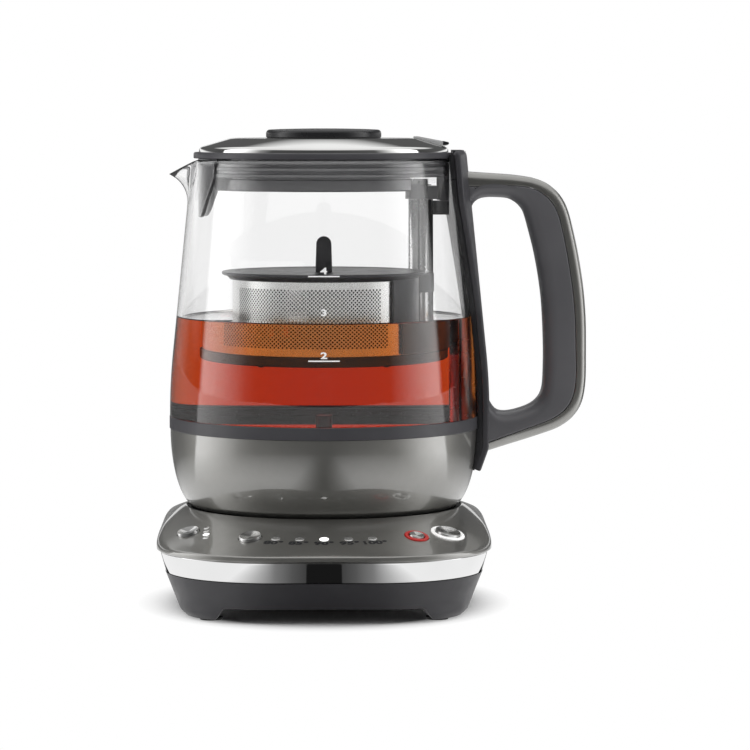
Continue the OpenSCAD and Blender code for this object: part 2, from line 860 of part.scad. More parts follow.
module rim_bracket() {
    out = rim_r + column_t - 0.8;
    step_r = lid_r + 0.6;
    color(dark) difference() {
        rotate([0, 0, -bracket_angle]) rotate_extrude(angle = 2 * bracket_angle) polygon([
            [leg_in_r, collar_z - fit],
            [leg_out_r, collar_z - fit],
            [leg_out_r, strap_z],
            [out, strap_z],
            [out, column_top - 1.2],
            [out - 1, column_top - 0.2],
            [step_r, column_top - 0.2],
            [step_r, cover_z - 0.4],
            [leg_in_r, cover_z - 0.4]
        ]);
        for (y = [-1, 1]) translate([bracket_screw_x, y * bracket_screw_y, 0]) {
            translate([0, 0, strap_z - 1]) cylinder(h = 10, r = 1.2 + fit);
            translate([0, 0, column_top - 2]) cylinder(h = 4, r = 2 + fit);
        }
    }
}

bracket_screw_x = rim_r + column_t / 2 - 0.2;
bracket_screw_y = 7;

module bracket_pad() {
    color(black) arc_ring(leg_in_r - 4, leg_out_r, collar_z - 7, collar_z - 2 * fit, -8, 8);
}

// Room taken by the jug itself, moved out by gap
module jug_envelope(gap) {
    rotate_extrude() polygon(concat(
        [[0, rim_z + 10], [0, shell_z - 1], [shell_foot_r, shell_z - 1]],
        [for (p = reversed(shell_curve(0))) [p[0] + gap, p[1]]],
        [[ring_r + gap, shell_top], [ring_r + gap, ring_top + 0.5]],
        [for (z = jug_levels) if (z > bend_z) [jug_r(z) + gap, z]],
        [[rim_r + gap, rim_z + 10]]
    ));
}

// The column's outer surface, moved out by gap
module column_surface(gap) {
    t = column_t + gap;
    foot_z = shell_top - 21;
    rotate_extrude() polygon(concat(
        [[0, column_top], [0, foot_z], [jug_low_r + 1.6 + gap, foot_z], [jug_low_r + t, foot_z + 11.5]],
        [for (z = jug_levels) if (z > bend_z) [jug_r(z) + t, z]],
        [[rim_r + t, column_top - 1.5], [rim_r + t - 1.5, column_top]]
    ));
}

module handle_column() {
    foot_z = shell_top - 21;
    color(dark) difference() {
        intersection() {
            column_surface(0);
            translate([rim_r / 3, 0, 0]) rotate([90, 0, 90]) linear_extrude(ring_r + column_t) polygon([
                [-column_half_w + 1, foot_z],
                [column_half_w - 1, foot_z],
                [column_half_w, foot_z + 20],
                [column_half_w, ring_top + 50],
                [column_top_half_w, rim_z - 20],
                [column_top_half_w - 1, column_top - 1],
                [column_top_half_w - 2, column_top],
                [-column_top_half_w + 2, column_top],
                [-column_top_half_w + 1, column_top - 1],
                [-column_top_half_w, rim_z - 20],
                [-column_half_w, ring_top + 50],
                [-column_half_w, foot_z + 20]
            ]);
        }
        jug_envelope(fit);
        // seat of the rim bracket
        arc_ring(rim_r - 5, rim_r + column_t + 1, strap_z - 0.1, column_top + 1,
            -bracket_angle - 0.4, bracket_angle + 0.4);
        for (y = [-1, 1]) translate([bracket_screw_x, y * bracket_screw_y, strap_z - 12])
            cylinder(h = 14, r = 1.2 + 0.05);
        for (z = shell_screw_z) at_shell_screw(z) cylinder(h = shell_screw_l + 0.4, r = 1.55);
    }
}

shell_screw_z = [shell_top - 6, shell_top - 14];
shell_screw_l = 7.5;

// Frame of a screw through the metal shell, with its head against the inside
module at_shell_screw(z) {
    dr = jug_low_r - fit - shell_foot_r - shell_wall;
    inside = shell_foot_r + dr * sqrt(1 - pow((shell_top - z) / (shell_h - shell_wall), 2));
    translate([inside - 2, 0, z]) rotate([0, 90, 0]) children();
}

module handle_screws() {
    color(steel) {
        for (y = [-1, 1]) translate([bracket_screw_x, y * bracket_screw_y, 0]) {
            translate([0, 0, strap_z - 11]) cylinder(h = column_top - 2.4 - strap_z + 11, r = 1.2);
            translate([0, 0, column_top - 2]) cylinder(h = 1.4, r = 2);
            translate([0, 0, column_top - 3]) cylinder(h = 2, r = 1.2);
        }
        for (z = shell_screw_z) at_shell_screw(z) {
            cylinder(h = shell_screw_l, r = 1.5);
            cylinder(h = 1.6, r = 2.8);
        }
    }
}

// Where the handle's outlines start, inside the column
handle_root = rim_r - 4;

// Side outline of the handle
module handle_outline() {
    top = rim_z - 6;
    low = shell_top + 6;
    polygon(rounded([
        [rim_r + 2, top, 1],
        [handle_reach - 14, top - 3.8, 16],
        [handle_reach, rim_z - 74, 120],
        [handle_reach, low, 17],
        [jug_low_r + 0.9, shell_top - 11.4, 1],
        [handle_root, shell_top - 11.4, 1],
        [handle_root, top, 1]
    ]));
}

// Side outline of the finger gap
module gap_outline() {
    right = handle_reach - grip_t;
    polygon(rounded([
        [handle_root, rim_z - 18.2, 1],
        [right - 9.3, rim_z - 19, 10],
        [right, rim_z - 74, 100],
        [right, shell_top + 11.4, 8],
        [handle_root, shell_top + 6, 1]
    ]));
}

module handle_grip() {
    color(dark) difference() {
        translate([0, grip_w / 2, 0]) rotate([90, 0, 0]) linear_extrude(grip_w) difference() {
            offset(delta = -strip_t - fit / 2) handle_outline();
            gap_outline();
        }
        column_surface(fit);
    }
}

module handle_strip() {
    color(gunmetal) difference() {
        translate([0, grip_w / 2, 0]) rotate([90, 0, 0]) linear_extrude(grip_w) difference() {
            handle_outline();
            offset(delta = -strip_t) handle_outline();
            translate([0, rim_z - 60]) square([rim_r + 2, 80]);
        }
        column_surface(fit);
    }
}

// ---- lift drive ----

module lift_screw() {
    color(steel) at_post(shaft_z - 5) cylinder(h = screw_top - shaft_z + 5, r = screw_core_r);
}

module screw_coupling() {
    color(brass) at_post(shaft_z + free) tube(screw_core_r + 2, screw_core_r + running, 6);
}

module magnet_carriage() {
    color(black) at_post(clip_mid - carriage_h / 2) difference() {
        cylinder(h = carriage_h, r = post_bore_r - free);
        translate([0, 0, -1]) cylinder(h = carriage_h + 2, r = screw_core_r + running);
        translate([0, 0, 3]) tube(post_bore_r, post_bore_r - 0.9, carriage_h - 6);
    }
}

module carriage_magnet() {
    color(magnet) at_post(clip_mid - carriage_h / 2 + 3.1)
        tube(post_bore_r - free, post_bore_r - 0.85, carriage_h - 6.2);
}

// ---- lid ----

module lid_ring() {
    color(dark) difference() {
        translate([0, 0, lid_z]) tube(lid_r, skirt_r - 5.5, lid_ring_h - eps);
        // notch for the rim bracket
        arc_ring(leg_in_r - 0.7, lid_r + 1, lid_z - 1, cover_z + 1, -bracket_angle - 2, bracket_angle + 2);
    }
}

module lid_cover() {
    t = cover_t;
    lip = cover_z + 2.1;
    color(steel) difference() {
        rotate_extrude() polygon([
            [0, cover_top],
            [plateau_r, cover_top],
            [cover_r - 1.2, lip + 0.4],
            [cover_r - 0.5, lip],
            [cover_r, cover_z],
            [cover_r - t, cover_z],
            [cover_r - 0.5 - 1.2 * t, lip - 0.6 * t],
            [plateau_r - 0.2, cover_top - t],
            [0, cover_top - t]
        ]);
        translate([0, 0, cover_top - 3]) cylinder(h = 5, r = 2.3);
    }
}

module lid_skirt() {
    foot = rim_z - skirt_depth;
    top = rim_z + 0.5;
    web_z = top - 2;
    notch = 42;
    color(dark) difference() {
        union() {
            translate([0, 0, foot]) tube(skirt_r, skirt_r - skirt_t, top - foot);
            translate([0, 0, web_z]) cylinder(h = 2, r = skirt_r);
            translate([0, 0, web_z]) cylinder(h = cover_top - cover_t - web_z - 0.05, r = 6);
        }
        translate([0, 0, foot - 1]) linear_extrude(top - band_h - foot + 1) polygon([
            [0, 0],
            [100, -100 * tan(notch)],
            [100, 100 * tan(notch)]
        ]);
        translate([0, 0, web_z - 1]) cylinder(h = 20, r = 2.3);
    }
}

module lid_seal() {
    z = rim_z - 7;
    out = rim_r - glass_wall - 0.9;
    color(rubber) {
        arc_ring(skirt_r + 0.05, skirt_r + 1.4, z - 0.6, z + 2.1, -153, 153);
        arc_ring(skirt_r + 0.7, out, z, z + 1.2, bracket_angle + 4, 150);
        arc_ring(skirt_r + 0.7, out, z, z + 1.2, -150, -bracket_angle - 4);
    }
}

module spout_screen() {
    tip_r = screen_tip_r;
    low = rim_z - 27.8;
    color(dark) intersection() {
        translate([0, 0, low]) tube(screen_r, screen_r - screen_t, lid_z - low - eps);
        translate([-screen_r - 1, 0, 0]) rotate([90, 0, 90]) linear_extrude(screen_r) hull() {
            translate([0, low + tip_r]) circle(tip_r);
            translate([-screen_half_w, rim_z - 4]) square([2 * screen_half_w, 10]);
        }
    }
}

module lid_knob() {
    r = knob_r;
    color(black) translate([0, 0, cover_top]) difference() {
        rotate_extrude() polygon(concat(
            [[0, 0], [r - 0.6, 0], [r, 0.6]],
            [for (a = [0:30:90]) [r - 1.5 + 1.5 * cos(a), knob_h - 2.1 + 1.5 * sin(a)]],
            [[0, knob_h]]
        ));
        translate([0, 0, -1]) cylinder(h = knob_h - 0.6, r = 2.05);
    }
}

module knob_screw() {
    head_z = rim_z + 0.5 - 2 - 2;
    color(steel) {
        translate([0, 0, head_z]) cylinder(h = 2 - eps, r = 4);
        translate([0, 0, head_z]) cylinder(h = cover_top + knob_h - 2.2 - head_z, r = 2);
    }
}

module lid_tab() {
    h = cover_top;
    end = cover_r - 1;
    color(black) translate([0, tab_w / 2, 0]) rotate([90, 0, 0]) linear_extrude(tab_w) polygon([
        [plateau_r - 1.5, h],
        [plateau_r, h],
        [plateau_r + 7, h - 1.3],
        [end - 0.4, h - 2.5],
        [end, h - 1.9],
        [end - 0.4, h - 1],
        [plateau_r + 5, h + 0.8],
        [plateau_r - 1.5, h + 1]
    ]);
}

// ---- basket ----

module basket_collar() {
    in_r = drum_r + fit;
    out_r = in_r + 1.5;
    under = basket_top - basket_rim_h;
    spine_foot = basket_foot + bottom_ring_h + fit;
    spine_half = 69;
    color(dark) difference() {
        union() {
            rotate_extrude() polygon([
                [in_r, spine_foot],
                [out_r, spine_foot],
                [out_r, under],
                [basket_rim_r, under],
                [basket_rim_r, basket_top],
                [in_r - 1.4, basket_top],
                [in_r - 1.4, under + 1.3],
                [in_r - 3.6, under + 1.3],
                [in_r - 3.6, under],
                [in_r, under]
            ]);
            // clip round the lift post
            difference() {
                at_post(clip_mid - clip_h / 2) cylinder(h = clip_h, r = clip_r);
                cylinder(h = under + 0.5, r = in_r + 0.5);
            }
        }
        // the spine stays on the side that faces the lift post
        rotate([0, 0, post_angle]) linear_extrude(under - 3.8) polygon([
            [0, 0],
            [100 * cos(spine_half), 100 * sin(spine_half)],
            [-100, 100 * sin(spine_half)],
            [-100, -100 * sin(spine_half)],
            [100 * cos(spine_half), -100 * sin(spine_half)]
        ]);
        at_post(basket_foot) cylinder(h = basket_h + 1, r = post_r + free);
        at_post(basket_foot) rotate([0, 0, post_angle]) translate([0, -rail_w / 2 - 0.6, 0])
            cube([20, rail_w + 1.2, basket_h + 1]);
        // magnet pockets, open below
        at_post(clip_mid - clip_h / 2 - 1) magnet_arcs(0.05, clip_h / 2 + 4.1);
    }
}

// Two arcs in the arms of the clip, one on each side of the post
module magnet_arcs(gap, h) {
    r = post_r + free + 0.7 - gap;
    half = 28 + gap * 180 / (PI * r);
    for (a = [-90, 90]) rotate([0, 0, post_angle + a - half]) rotate_extrude(angle = 2 * half)
        translate([r, 0]) square([1 + 2 * gap, h]);
}

module basket_magnets() {
    color(magnet) at_post(clip_mid - 3) magnet_arcs(0, 6);
}

module basket_drum() {
    floor_z = basket_foot + 2;
    color(steel) translate([0, 0, floor_z]) tube(drum_r, drum_r - drum_t, drum_top - floor_z);
}

module basket_base() {
    color(dark) {
        translate([0, 0, basket_foot]) cylinder(h = 2 - eps, r = drum_r + 1.1);
        translate([0, 0, basket_foot]) tube(drum_r + 1.1, drum_r + fit, bottom_ring_h);
        // nubs that the basket stands on
        for (a = [-129, -51, 51, 129]) rotate([0, 0, a])
            translate([drum_r - 3, 0, basket_foot - 0.7]) cylinder(h = 1, r = 1.4);
    }
}

module basket_lid() {
    z = basket_top - basket_rim_h + 1.3 + free;
    color(dark) translate([0, 0, z]) cylinder(h = basket_top - z - 0.1, r = drum_r + fit - 1.4 - free);
}

module basket_tab() {
    r = lid_tab_w / 2;
    color(black) translate([0, 1.3, basket_top - 0.1]) rotate([90, 0, 0]) linear_extrude(2.6) union() {
        translate([-r, 0]) square([2 * r, lid_tab_h - r + 0.1]);
        translate([0, lid_tab_h - r + 0.1]) circle(r);
    }
}

base_cover();
base_trim();
base_tray();
base_feet();
base_screws();
jug_seat();
base_connector();
connector_contacts();
control_board();
button_switches();
strength_lights();
temperature_lights();
keep_warm_ring();
start_ring();
cord_gland();
strength_button();
temperature_button();
keep_warm_button();
start_button();
glass_jug();
collar_ring();
glass_seal();
metal_shell();
jug_floor();
heating_element();
temperature_probe();
jug_bottom();
jug_connector();
jug_contacts();
lift_motor();
lift_post();
post_rail();
post_collar();
rim_bracket();
bracket_pad();
handle_column();
handle_grip();
handle_strip();
handle_screws();
lift_screw();
screw_coupling();
magnet_carriage();
carriage_magnet();
lid_cover();
lid_ring();
lid_skirt();
lid_seal();
spout_screen();
lid_knob();
knob_screw();
lid_tab();
basket_collar();
basket_drum();
basket_base();
basket_magnets();
basket_lid();
basket_tab();
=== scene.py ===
"""Looks of the automatic tea maker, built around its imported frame. Shapes are given in millimetres."""

from math import acos, asin, atan2, copysign, cos, degrees, floor, hypot, pi, radians, sin, sqrt, tan, tau

import bpy
from mathutils import Matrix, Vector


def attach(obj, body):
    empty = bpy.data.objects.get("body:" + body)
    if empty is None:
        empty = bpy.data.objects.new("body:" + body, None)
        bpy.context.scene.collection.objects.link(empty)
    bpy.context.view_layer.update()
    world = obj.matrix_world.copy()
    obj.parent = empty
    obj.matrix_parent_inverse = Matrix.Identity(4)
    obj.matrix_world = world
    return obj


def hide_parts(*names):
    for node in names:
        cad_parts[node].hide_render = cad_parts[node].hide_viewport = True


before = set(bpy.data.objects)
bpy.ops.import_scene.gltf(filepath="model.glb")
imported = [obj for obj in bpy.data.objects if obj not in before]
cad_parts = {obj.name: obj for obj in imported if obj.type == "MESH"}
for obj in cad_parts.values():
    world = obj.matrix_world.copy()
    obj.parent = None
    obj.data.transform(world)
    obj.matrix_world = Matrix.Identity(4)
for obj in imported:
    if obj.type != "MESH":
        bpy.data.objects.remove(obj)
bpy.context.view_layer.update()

MM = 0.001
TURNS = 240
SHARP = 32

# Shared sizes, the same as the source's
BASE_W, BASE_FRONT, BASE_BACK, BASE_CORNER = 159, 107.8, 78, 57
BASE_MIDDLE, BASE_HALF = (BASE_BACK - BASE_FRONT) / 2, (BASE_FRONT + BASE_BACK) / 2
BASE_H, RECESS_R, PANEL_SLOPE = 45.8, 67, radians(17.6)
TRAY_H, TRIM_TOP, TRAY_FLOOR, ARCH_H = 19.8, 30.1, 9.4, 7.2
CONTROL_R = 89
COVER_EDGE = 32.9
RING_LOW, RING_TOP, RIM_Z, GLASS_WALL = 83.3, 89.5, 213.8, 2.6
JUG_LOW_R, RIM_R = 75.1, 64
POST_X, POST_Y, POST_R, POST_ANGLE = 47.037, 21.934, 5.2, 25
BASKET_TOP, DRUM_R = 159.6, 44.5
COLUMN_LOW, COLUMN_TOP = 62.3, 218.5
LID_TOP, SCREEN_R = 224.1, 60.9
TEA_TOP = 137

# How far the panel's figures and the glass's marks stand off their surface, and how much they are widened
FIGURE_LIFT, FIGURE_WIDTH = 0.05, 1.45
MARK_LIFT, MARK_WIDTH = 0.06, 1.5


# ---- workshop helpers ----


def deselect():
    if bpy.context.mode != "OBJECT":
        bpy.ops.object.mode_set(mode="OBJECT")
    bpy.ops.object.select_all(action="DESELECT")


def only(piece):
    deselect()
    piece.select_set(True)
    bpy.context.view_layer.objects.active = piece


def picked(piece, test):
    """Edit mode with only those faces selected that pass the test."""
    only(piece)
    for group in (piece.data.vertices, piece.data.edges):
        group.foreach_set("select", [False] * len(group))
    for face in piece.data.polygons:
        face.select = test(face)
    bpy.context.tool_settings.mesh_select_mode = (False, False, True)
    bpy.ops.object.mode_set(mode="EDIT")


def put_down():
    """Back to object mode, with vertices as what edit mode selects."""
    bpy.ops.object.mode_set(mode="OBJECT")
    bpy.context.tool_settings.mesh_select_mode = (True, False, False)


def named(name):
    piece = bpy.context.object
    piece.name = piece.data.name = name
    return piece


def wire(name, points, closed=True):
    """An edge line drawn point by point from a plane merged to one point; it stays selected in edit mode."""
    deselect()
    bpy.ops.mesh.primitive_plane_add(size=0.01, location=(0, 0, 0))
    piece = named(name)
    bpy.ops.object.mode_set(mode="EDIT")
    bpy.ops.mesh.merge(type="CENTER")
    last = Vector(points[0]) * MM
    bpy.ops.transform.translate(value=last)
    for point in list(points[1:]) + ([points[0]] if closed else []):
        place = Vector(point) * MM
        bpy.ops.mesh.extrude_region_move(TRANSFORM_OT_translate={"value": place - last})
        last = place
    bpy.ops.mesh.select_all(action="SELECT")
    bpy.ops.mesh.remove_doubles(threshold=1e-6)
    return piece


def turned(name, profile, axis_at=(0, 0), steps=TURNS):
    """A piece turned on an upright axis from (radius, height) points; one that starts on the axis stays open there."""
    x, y = axis_at
    piece = wire(name, [(x + r, y, z) for r, z in profile], profile[0][0] != 0)
    bpy.ops.mesh.spin(steps=steps, angle=tau, center=(x * MM, y * MM, 0), axis=(0, 0, 1))
    return sewn(piece)


def rod(r, low, high, axis_at=(0, 0), steps=64):
    """A plain cylinder, made to be cut away."""
    return turned("cutter", [(0, low), (r, low), (r, high), (0, high)], axis_at, steps)


def sewn(piece):
    """Doubles merged and faces turned outwards."""
    only(piece)
    bpy.ops.object.mode_set(mode="EDIT")
    bpy.ops.mesh.select_all(action="SELECT")
    bpy.ops.mesh.remove_doubles(threshold=1e-6)
    bpy.ops.mesh.normals_make_consistent(inside=False)
    bpy.ops.object.mode_set(mode="OBJECT")
    return piece


def slab(name, outline, push):
    """A flat outline filled and extruded by the vector push."""
    piece = wire(name, outline)
    bpy.ops.mesh.edge_face_add()
    bpy.ops.mesh.extrude_region_move(TRANSFORM_OT_translate={"value": Vector(push) * MM})
    return sewn(piece)


def plank(name, outline, width):
    """An upright outline of (x, z) points, width thick about the middle plane."""
    return slab(name, [(x, -width / 2, z) for x, z in outline], (0, width, 0))


def grid(name, across, along):
    """A flat grid from -1 to 1 both ways."""
    deselect()
    bpy.ops.mesh.primitive_grid_add(x_subdivisions=across, y_subdivisions=along, size=2, location=(0, 0, 0))
    return named(name)


def laid(name, across, along, place):
    """A grid whose points are laid one by one: place(u, v), with u and v from 0 to 1."""
    piece = grid(name, across, along)
    for v in piece.data.vertices:
        v.co = Vector(place((v.co.x + 1) / 2, (v.co.y + 1) / 2)) * MM
    return sewn(piece)


def skinned(name, rings):
    """A closed skin over rings of points, capped at both ends."""
    count, last = len(rings[0]), len(rings) - 1
    caps = [sum((Vector(p) for p in ring), Vector()) / count for ring in (rings[0], rings[-1])]

    def place(u, v):
        k = round(v * (last + 2)) - 1
        if k < 0 or k > last:
            return caps[k > last]
        return rings[k][round(u * count) % count]

    return laid(name, count, last + 2, place)


def flowing(points, count):
    """A smooth line through the points, cut into equal steps."""
    line = []
    for k in range(len(points) - 1):
        a, b, c, d = (Vector(points[min(max(k + j, 0), len(points) - 1)]) for j in (-1, 0, 1, 2))
        for step in range(8):
            t = step / 8
            line.append(
                (b * 2 + (c - a) * t + (a * 2 - b * 5 + c * 4 - d) * t * t + (b * 3 - a - c * 3 + d) * t ** 3) / 2
            )
    line.append(Vector(points[-1]))
    run = [0]
    for a, b in zip(line, line[1:]):
        run.append(run[-1] + (b - a).length)
    even, k = [], 0
    for step in range(count + 1):
        far = run[-1] * step / count
        while k < len(line) - 2 and run[k + 1] < far:
            k += 1
        even.append(line[k].lerp(line[k + 1], (far - run[k]) / (run[k + 1] - run[k])))
    return even


def modified(piece, kind, **settings):
    only(piece)
    mod = piece.modifiers.new(kind.title(), kind)
    for key, value in settings.items():
        setattr(mod, key, value)
    bpy.ops.object.modifier_apply(modifier=mod.name)
    return piece


def rounded_edges(piece, width, segments, angle):
    return modified(
        piece, "BEVEL", width=width * MM, segments=segments, limit_method="ANGLE", angle_limit=radians(angle)
    )


def thickened(piece, wall, offset=-1, even=True):
    return modified(piece, "SOLIDIFY", thickness=wall * MM, offset=offset, use_even_offset=even)


def cut(piece, *cutters):
    for cutter in cutters:
        modified(piece, "BOOLEAN", object=cutter, operation="DIFFERENCE", solver="EXACT")
        bpy.data.objects.remove(cutter)
    return piece


def moved(piece, matrix):
    """The piece's mesh put through a matrix given in millimetres."""
    scale = Matrix.Scale(MM, 4)
    piece.data.transform(scale @ matrix @ scale.inverted())
    return piece


def fitted(piece, body, finish, slot, *nodes, sharp=SHARP):
    """The finished piece on its body; it shades smooth wherever its faces meet at less than sharp degrees."""
    only(piece)
    bpy.ops.object.transform_apply(location=True, rotation=True, scale=True)
    bpy.ops.object.shade_smooth_by_angle(angle=radians(sharp))
    piece.data.materials.clear()
    piece.data.materials.append(finish)
    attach(piece, body)
    if nodes:
        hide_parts(*nodes)


def arc(centre, radius, a, b, steps):
    """Points of an arc in a profile, from angle a to b in degrees."""
    turns = [radians(a + (b - a) * k / steps) for k in range(steps + 1)]
    return [(centre[0] + radius * cos(turn), centre[1] + radius * sin(turn)) for turn in turns]


def polar(r, angle, *z):
    """A point at a distance and an angle from the jug's axis."""
    return (r * cos(angle), r * sin(angle), *z)


def read_off(table, z):
    """The other columns of a table at z, a height in its first column."""
    for low, high in zip(table, table[1:]):
        if z <= high[0]:
            t = (max(z, low[0]) - low[0]) / (high[0] - low[0])
            return [a + (b - a) * t for a, b in zip(low[1:], high[1:])]
    return table[-1][1:]


def rounded(corners, steps):
    """Outline with rounded corners, each given as (x, y, radius)."""
    points = []
    for k, (x, y, r) in enumerate(corners):
        p = Vector((x, y))
        to_a = (Vector(corners[k - 1][:2]) - p).normalized()
        to_b = (Vector(corners[(k + 1) % len(corners)][:2]) - p).normalized()
        half = acos(to_a.dot(to_b)) / 2
        centre, reach = p + (to_a + to_b).normalized() * (r / sin(half)), r / tan(half)
        start, end = p + to_a * reach - centre, p + to_b * reach - centre
        for s in range(steps + 1):
            points.append(tuple(centre + start.lerp(end, s / steps).normalized() * r))
    return points


def smooth(x, a, b):
    t = min(max((x - a) / (b - a), 0), 1)
    return t * t * (3 - 2 * t)


# ---- finishes ----

# Where most of a noise's values lie
NOISE_LOW, NOISE_HIGH = 0.3, 0.7


class Tree:
    """The nodes of a material or a world."""

    def __init__(self, owner):
        owner.use_nodes = True
        self.nodes, self.links = owner.node_tree.nodes, owner.node_tree.links
        self.rays = None

    def node(self, kind, inputs=(), **settings):
        made = self.nodes.new("ShaderNode" + kind)
        for key, value in settings.items():
            setattr(made, key, value)
        for key, value in dict(inputs).items():
            if isinstance(value, bpy.types.NodeSocket):
                self.links.new(value, made.inputs[key])
            else:
                made.inputs[key].default_value = value
        return made

    def math(self, operation, a, b=0):
        return self.node("Math", {0: a, 1: b}, operation=operation).outputs[0]

    def between(self, value, low, high, a=0, b=1):
        return self.node("MapRange", {0: value, 1: low, 2: high, 3: a, 4: b}).outputs[0]

    def mixed(self, share, a, b):
        return self.node("Mix", {0: share, 2: a, 3: b}).outputs[0]

    def steps(self, value, stops):
        """A value read off a list of (place, height) stops, with places from 0 to 1."""
        ramp = self.node("ValToRGB", {"Fac": value})
        elements = ramp.color_ramp.elements
        for k, (place, height) in enumerate(stops):
            element = elements[k] if k < 2 else elements.new(place)
            element.position = place
            element.color = (height, height, height, 1)
        return ramp.outputs[0]

    def ray(self, kind):
        self.rays = self.rays or self.node("LightPath").outputs
        return self.rays[f"Is {kind} Ray"]


class Finish(Tree):
    """A node material built round one Principled shader."""

    def __init__(self, name, colour, rough, metal=0, **sockets):
        self.material = bpy.data.materials.new(name)
        super().__init__(self.material)
        self.shader = self.nodes["Principled BSDF"]
        self.place = self.node("TexCoord").outputs["Object"]
        sockets = {"Base_Color": (*colour, 1), "Roughness": rough, "Metallic": metal, **sockets}
        for key, value in sockets.items():
            self.shader.inputs[key.replace("_", " ")].default_value = value
        self.material.diffuse_color = (*colour, 1)

    def noise(self, scale, detail, stretch=(1, 1, 1)):
        """Noise with its scale in waves per metre, drawn out where stretch is under 1 and closer where it is over."""
        mapped = self.node("Mapping", {"Vector": self.place, "Scale": stretch}).outputs[0]
        inputs = {"Vector": mapped, "Scale": scale, "Detail": detail, "Roughness": 0.55}
        return self.node("TexNoise", inputs).outputs["Fac"]

    def plan(self):
        """The place seen from above: x, y, and the two as a vector."""
        x, y, _ = self.node("SeparateXYZ", {0: self.place}).outputs
        return x, y, self.node("CombineXYZ", {0: x, 1: y}).outputs[0]

    def length(self, vector):
        return self.node("VectorMath", {0: vector}, operation="LENGTH").outputs["Value"]

    def shades(self, value, dark, light, start=NOISE_LOW, end=NOISE_HIGH):
        ramp = self.node("ValToRGB", {"Fac": value})
        for element, place, colour in zip(ramp.color_ramp.elements, (start, end), (dark, light)):
            element.position, element.color = place, (*colour, 1)
        self.links.new(ramp.outputs[0], self.shader.inputs["Base Color"])

    def roughness(self, value, low, high):
        spread = self.between(value, NOISE_LOW, NOISE_HIGH, low, high)
        self.links.new(spread, self.shader.inputs["Roughness"])

    def bump(self, value, depth):
        bump = self.node("Bump", {"Height": value, "Distance": depth * MM})
        self.links.new(bump.outputs[0], self.shader.inputs["Normal"])


def tinted(colour, share):
    return tuple(min(c * share, 1) for c in colour)


def moulded(name, dark, light, rough, grain=0.02, **sockets):
    """Moulded plastic: faint cloudiness and a fine sparked texture."""
    finish = Finish(name, dark, sum(rough) / 2, **sockets)
    finish.shades(finish.noise(45, 2), dark, light)
    finish.roughness(finish.noise(160, 3), *rough)
    finish.bump(finish.noise(3800, 2), grain)
    return finish.material


def spun_steel(name, angle):
    """Steel turned on a lathe: fine rings about a button's own middle, with a painted sheen in its colour, lighter and
    darker by quarters round that middle.
    """
    colour = (0.75, 0.75, 0.74)
    finish = Finish(name, colour, 0.3, 1)
    middle, slope = panel_matrix(angle).translation * MM, (PANEL_SLOPE, 0, radians(angle))
    inputs = {"Vector": finish.place, "Location": middle, "Rotation": slope}
    level = finish.node("Mapping", inputs, vector_type="TEXTURE").outputs[0]
    x, y, _ = finish.node("SeparateXYZ", {0: level}).outputs
    squares = finish.math("ADD", finish.math("MULTIPLY", x, x), finish.math("MULTIPLY", y, y))
    inputs = {"W": finish.math("SQRT", squares), "Scale": 5200, "Detail": 2}
    rings = finish.node("TexNoise", inputs, noise_dimensions="1D").outputs["Fac"]
    # painted sheen: the colour turns lighter and darker with the angle round the middle, in place of a reflection
    painted_sheen = finish.math("SINE", finish.math("MULTIPLY", finish.math("ARCTAN2", y, x), 2))
    finish.shades(finish.between(painted_sheen, -0.75, 0.75), tinted(colour, 0.4), tinted(colour, 1.3))
    finish.roughness(rings, 0.22, 0.4)
    finish.bump(rings, 0.006)
    return finish.material


def sheet_steel(name, colour, rough, grain):
    """Drawn sheet steel: fine scratches and faint clouding."""
    finish = Finish(name, colour, sum(rough) / 2, 1)
    scratches = finish.noise(900, 4)
    finish.shades(finish.noise(30, 2), tinted(colour, 0.94), colour)
    finish.roughness(scratches, *rough)
    finish.bump(scratches, grain)
    return finish.material


def drum_sheet():
    """Bright brushed steel outside, with painted shade inside and in the holes, where the colour is nearly black."""
    bright, painted_shade = (0.8, 0.8, 0.79), (0.03, 0.028, 0.026)
    finish = Finish("drum steel", bright, 0.27, 1)
    # painted shade: faces nearer the axis than the outer skin, the inside and the hole walls, take the dark colour
    outside = finish.between(finish.length(finish.plan()[2]), (DRUM_R - 0.35) * MM, (DRUM_R - 0.05) * MM)
    finish.shades(outside, painted_shade, bright, 0, 1)
    scratches = finish.noise(900, 4, (1, 1, 18))
    finish.roughness(scratches, 0.2, 0.34)
    finish.bump(scratches, 0.003)
    return finish.material


def gunmetal_coat():
    """Warm metallic lacquer over a fine brushed base."""
    coat = {"Coat_Weight": 1, "Coat_Roughness": 0.03, "Coat_IOR": 2}
    finish = Finish("gunmetal lacquer", (0.275, 0.272, 0.254), 0.4, 0.9, **coat)
    flakes = finish.noise(2600, 2)
    finish.shades(finish.noise(60, 3), (0.262, 0.258, 0.241), (0.29, 0.286, 0.268))
    finish.roughness(flakes, 0.38, 0.48)
    finish.bump(flakes, 0.004)
    return finish.material


def clear(name, ior, waves, rough):
    """A clear body with the faintest unevenness of its surface."""
    finish = Finish(name, (1, 1, 1), 0, 0, Transmission_Weight=1, IOR=ior)
    finish.roughness(finish.noise(waves, 2), 0, rough)
    return finish


def brewed_tea():
    """Clear liquid whose colour comes from its depth."""
    finish = clear("brewed tea", 1.33, 40, 0.01)
    depth = finish.node("VolumeAbsorption", {"Color": (0.896, 0.535, 0.03, 1), "Density": 60})
    finish.links.new(depth.outputs[0], finish.nodes["Material Output"].inputs["Volume"])
    return finish.material


def glowing(name, colour, strength):
    finish = Finish(name, colour, 0.3, Emission_Color=(*colour, 1), Emission_Strength=strength)
    finish.roughness(finish.noise(300, 2), 0.3, 0.4)
    return finish.material


def plain(name, colour, rough, metal=0, grain=0.01):
    finish = Finish(name, colour, sum(rough) / 2, metal)
    cloud = finish.noise(70, 3)
    finish.shades(cloud, tinted(colour, 0.9), tinted(colour, 1.08))
    finish.roughness(cloud, *rough)
    finish.bump(finish.noise(2400, 2), grain)
    return finish.material


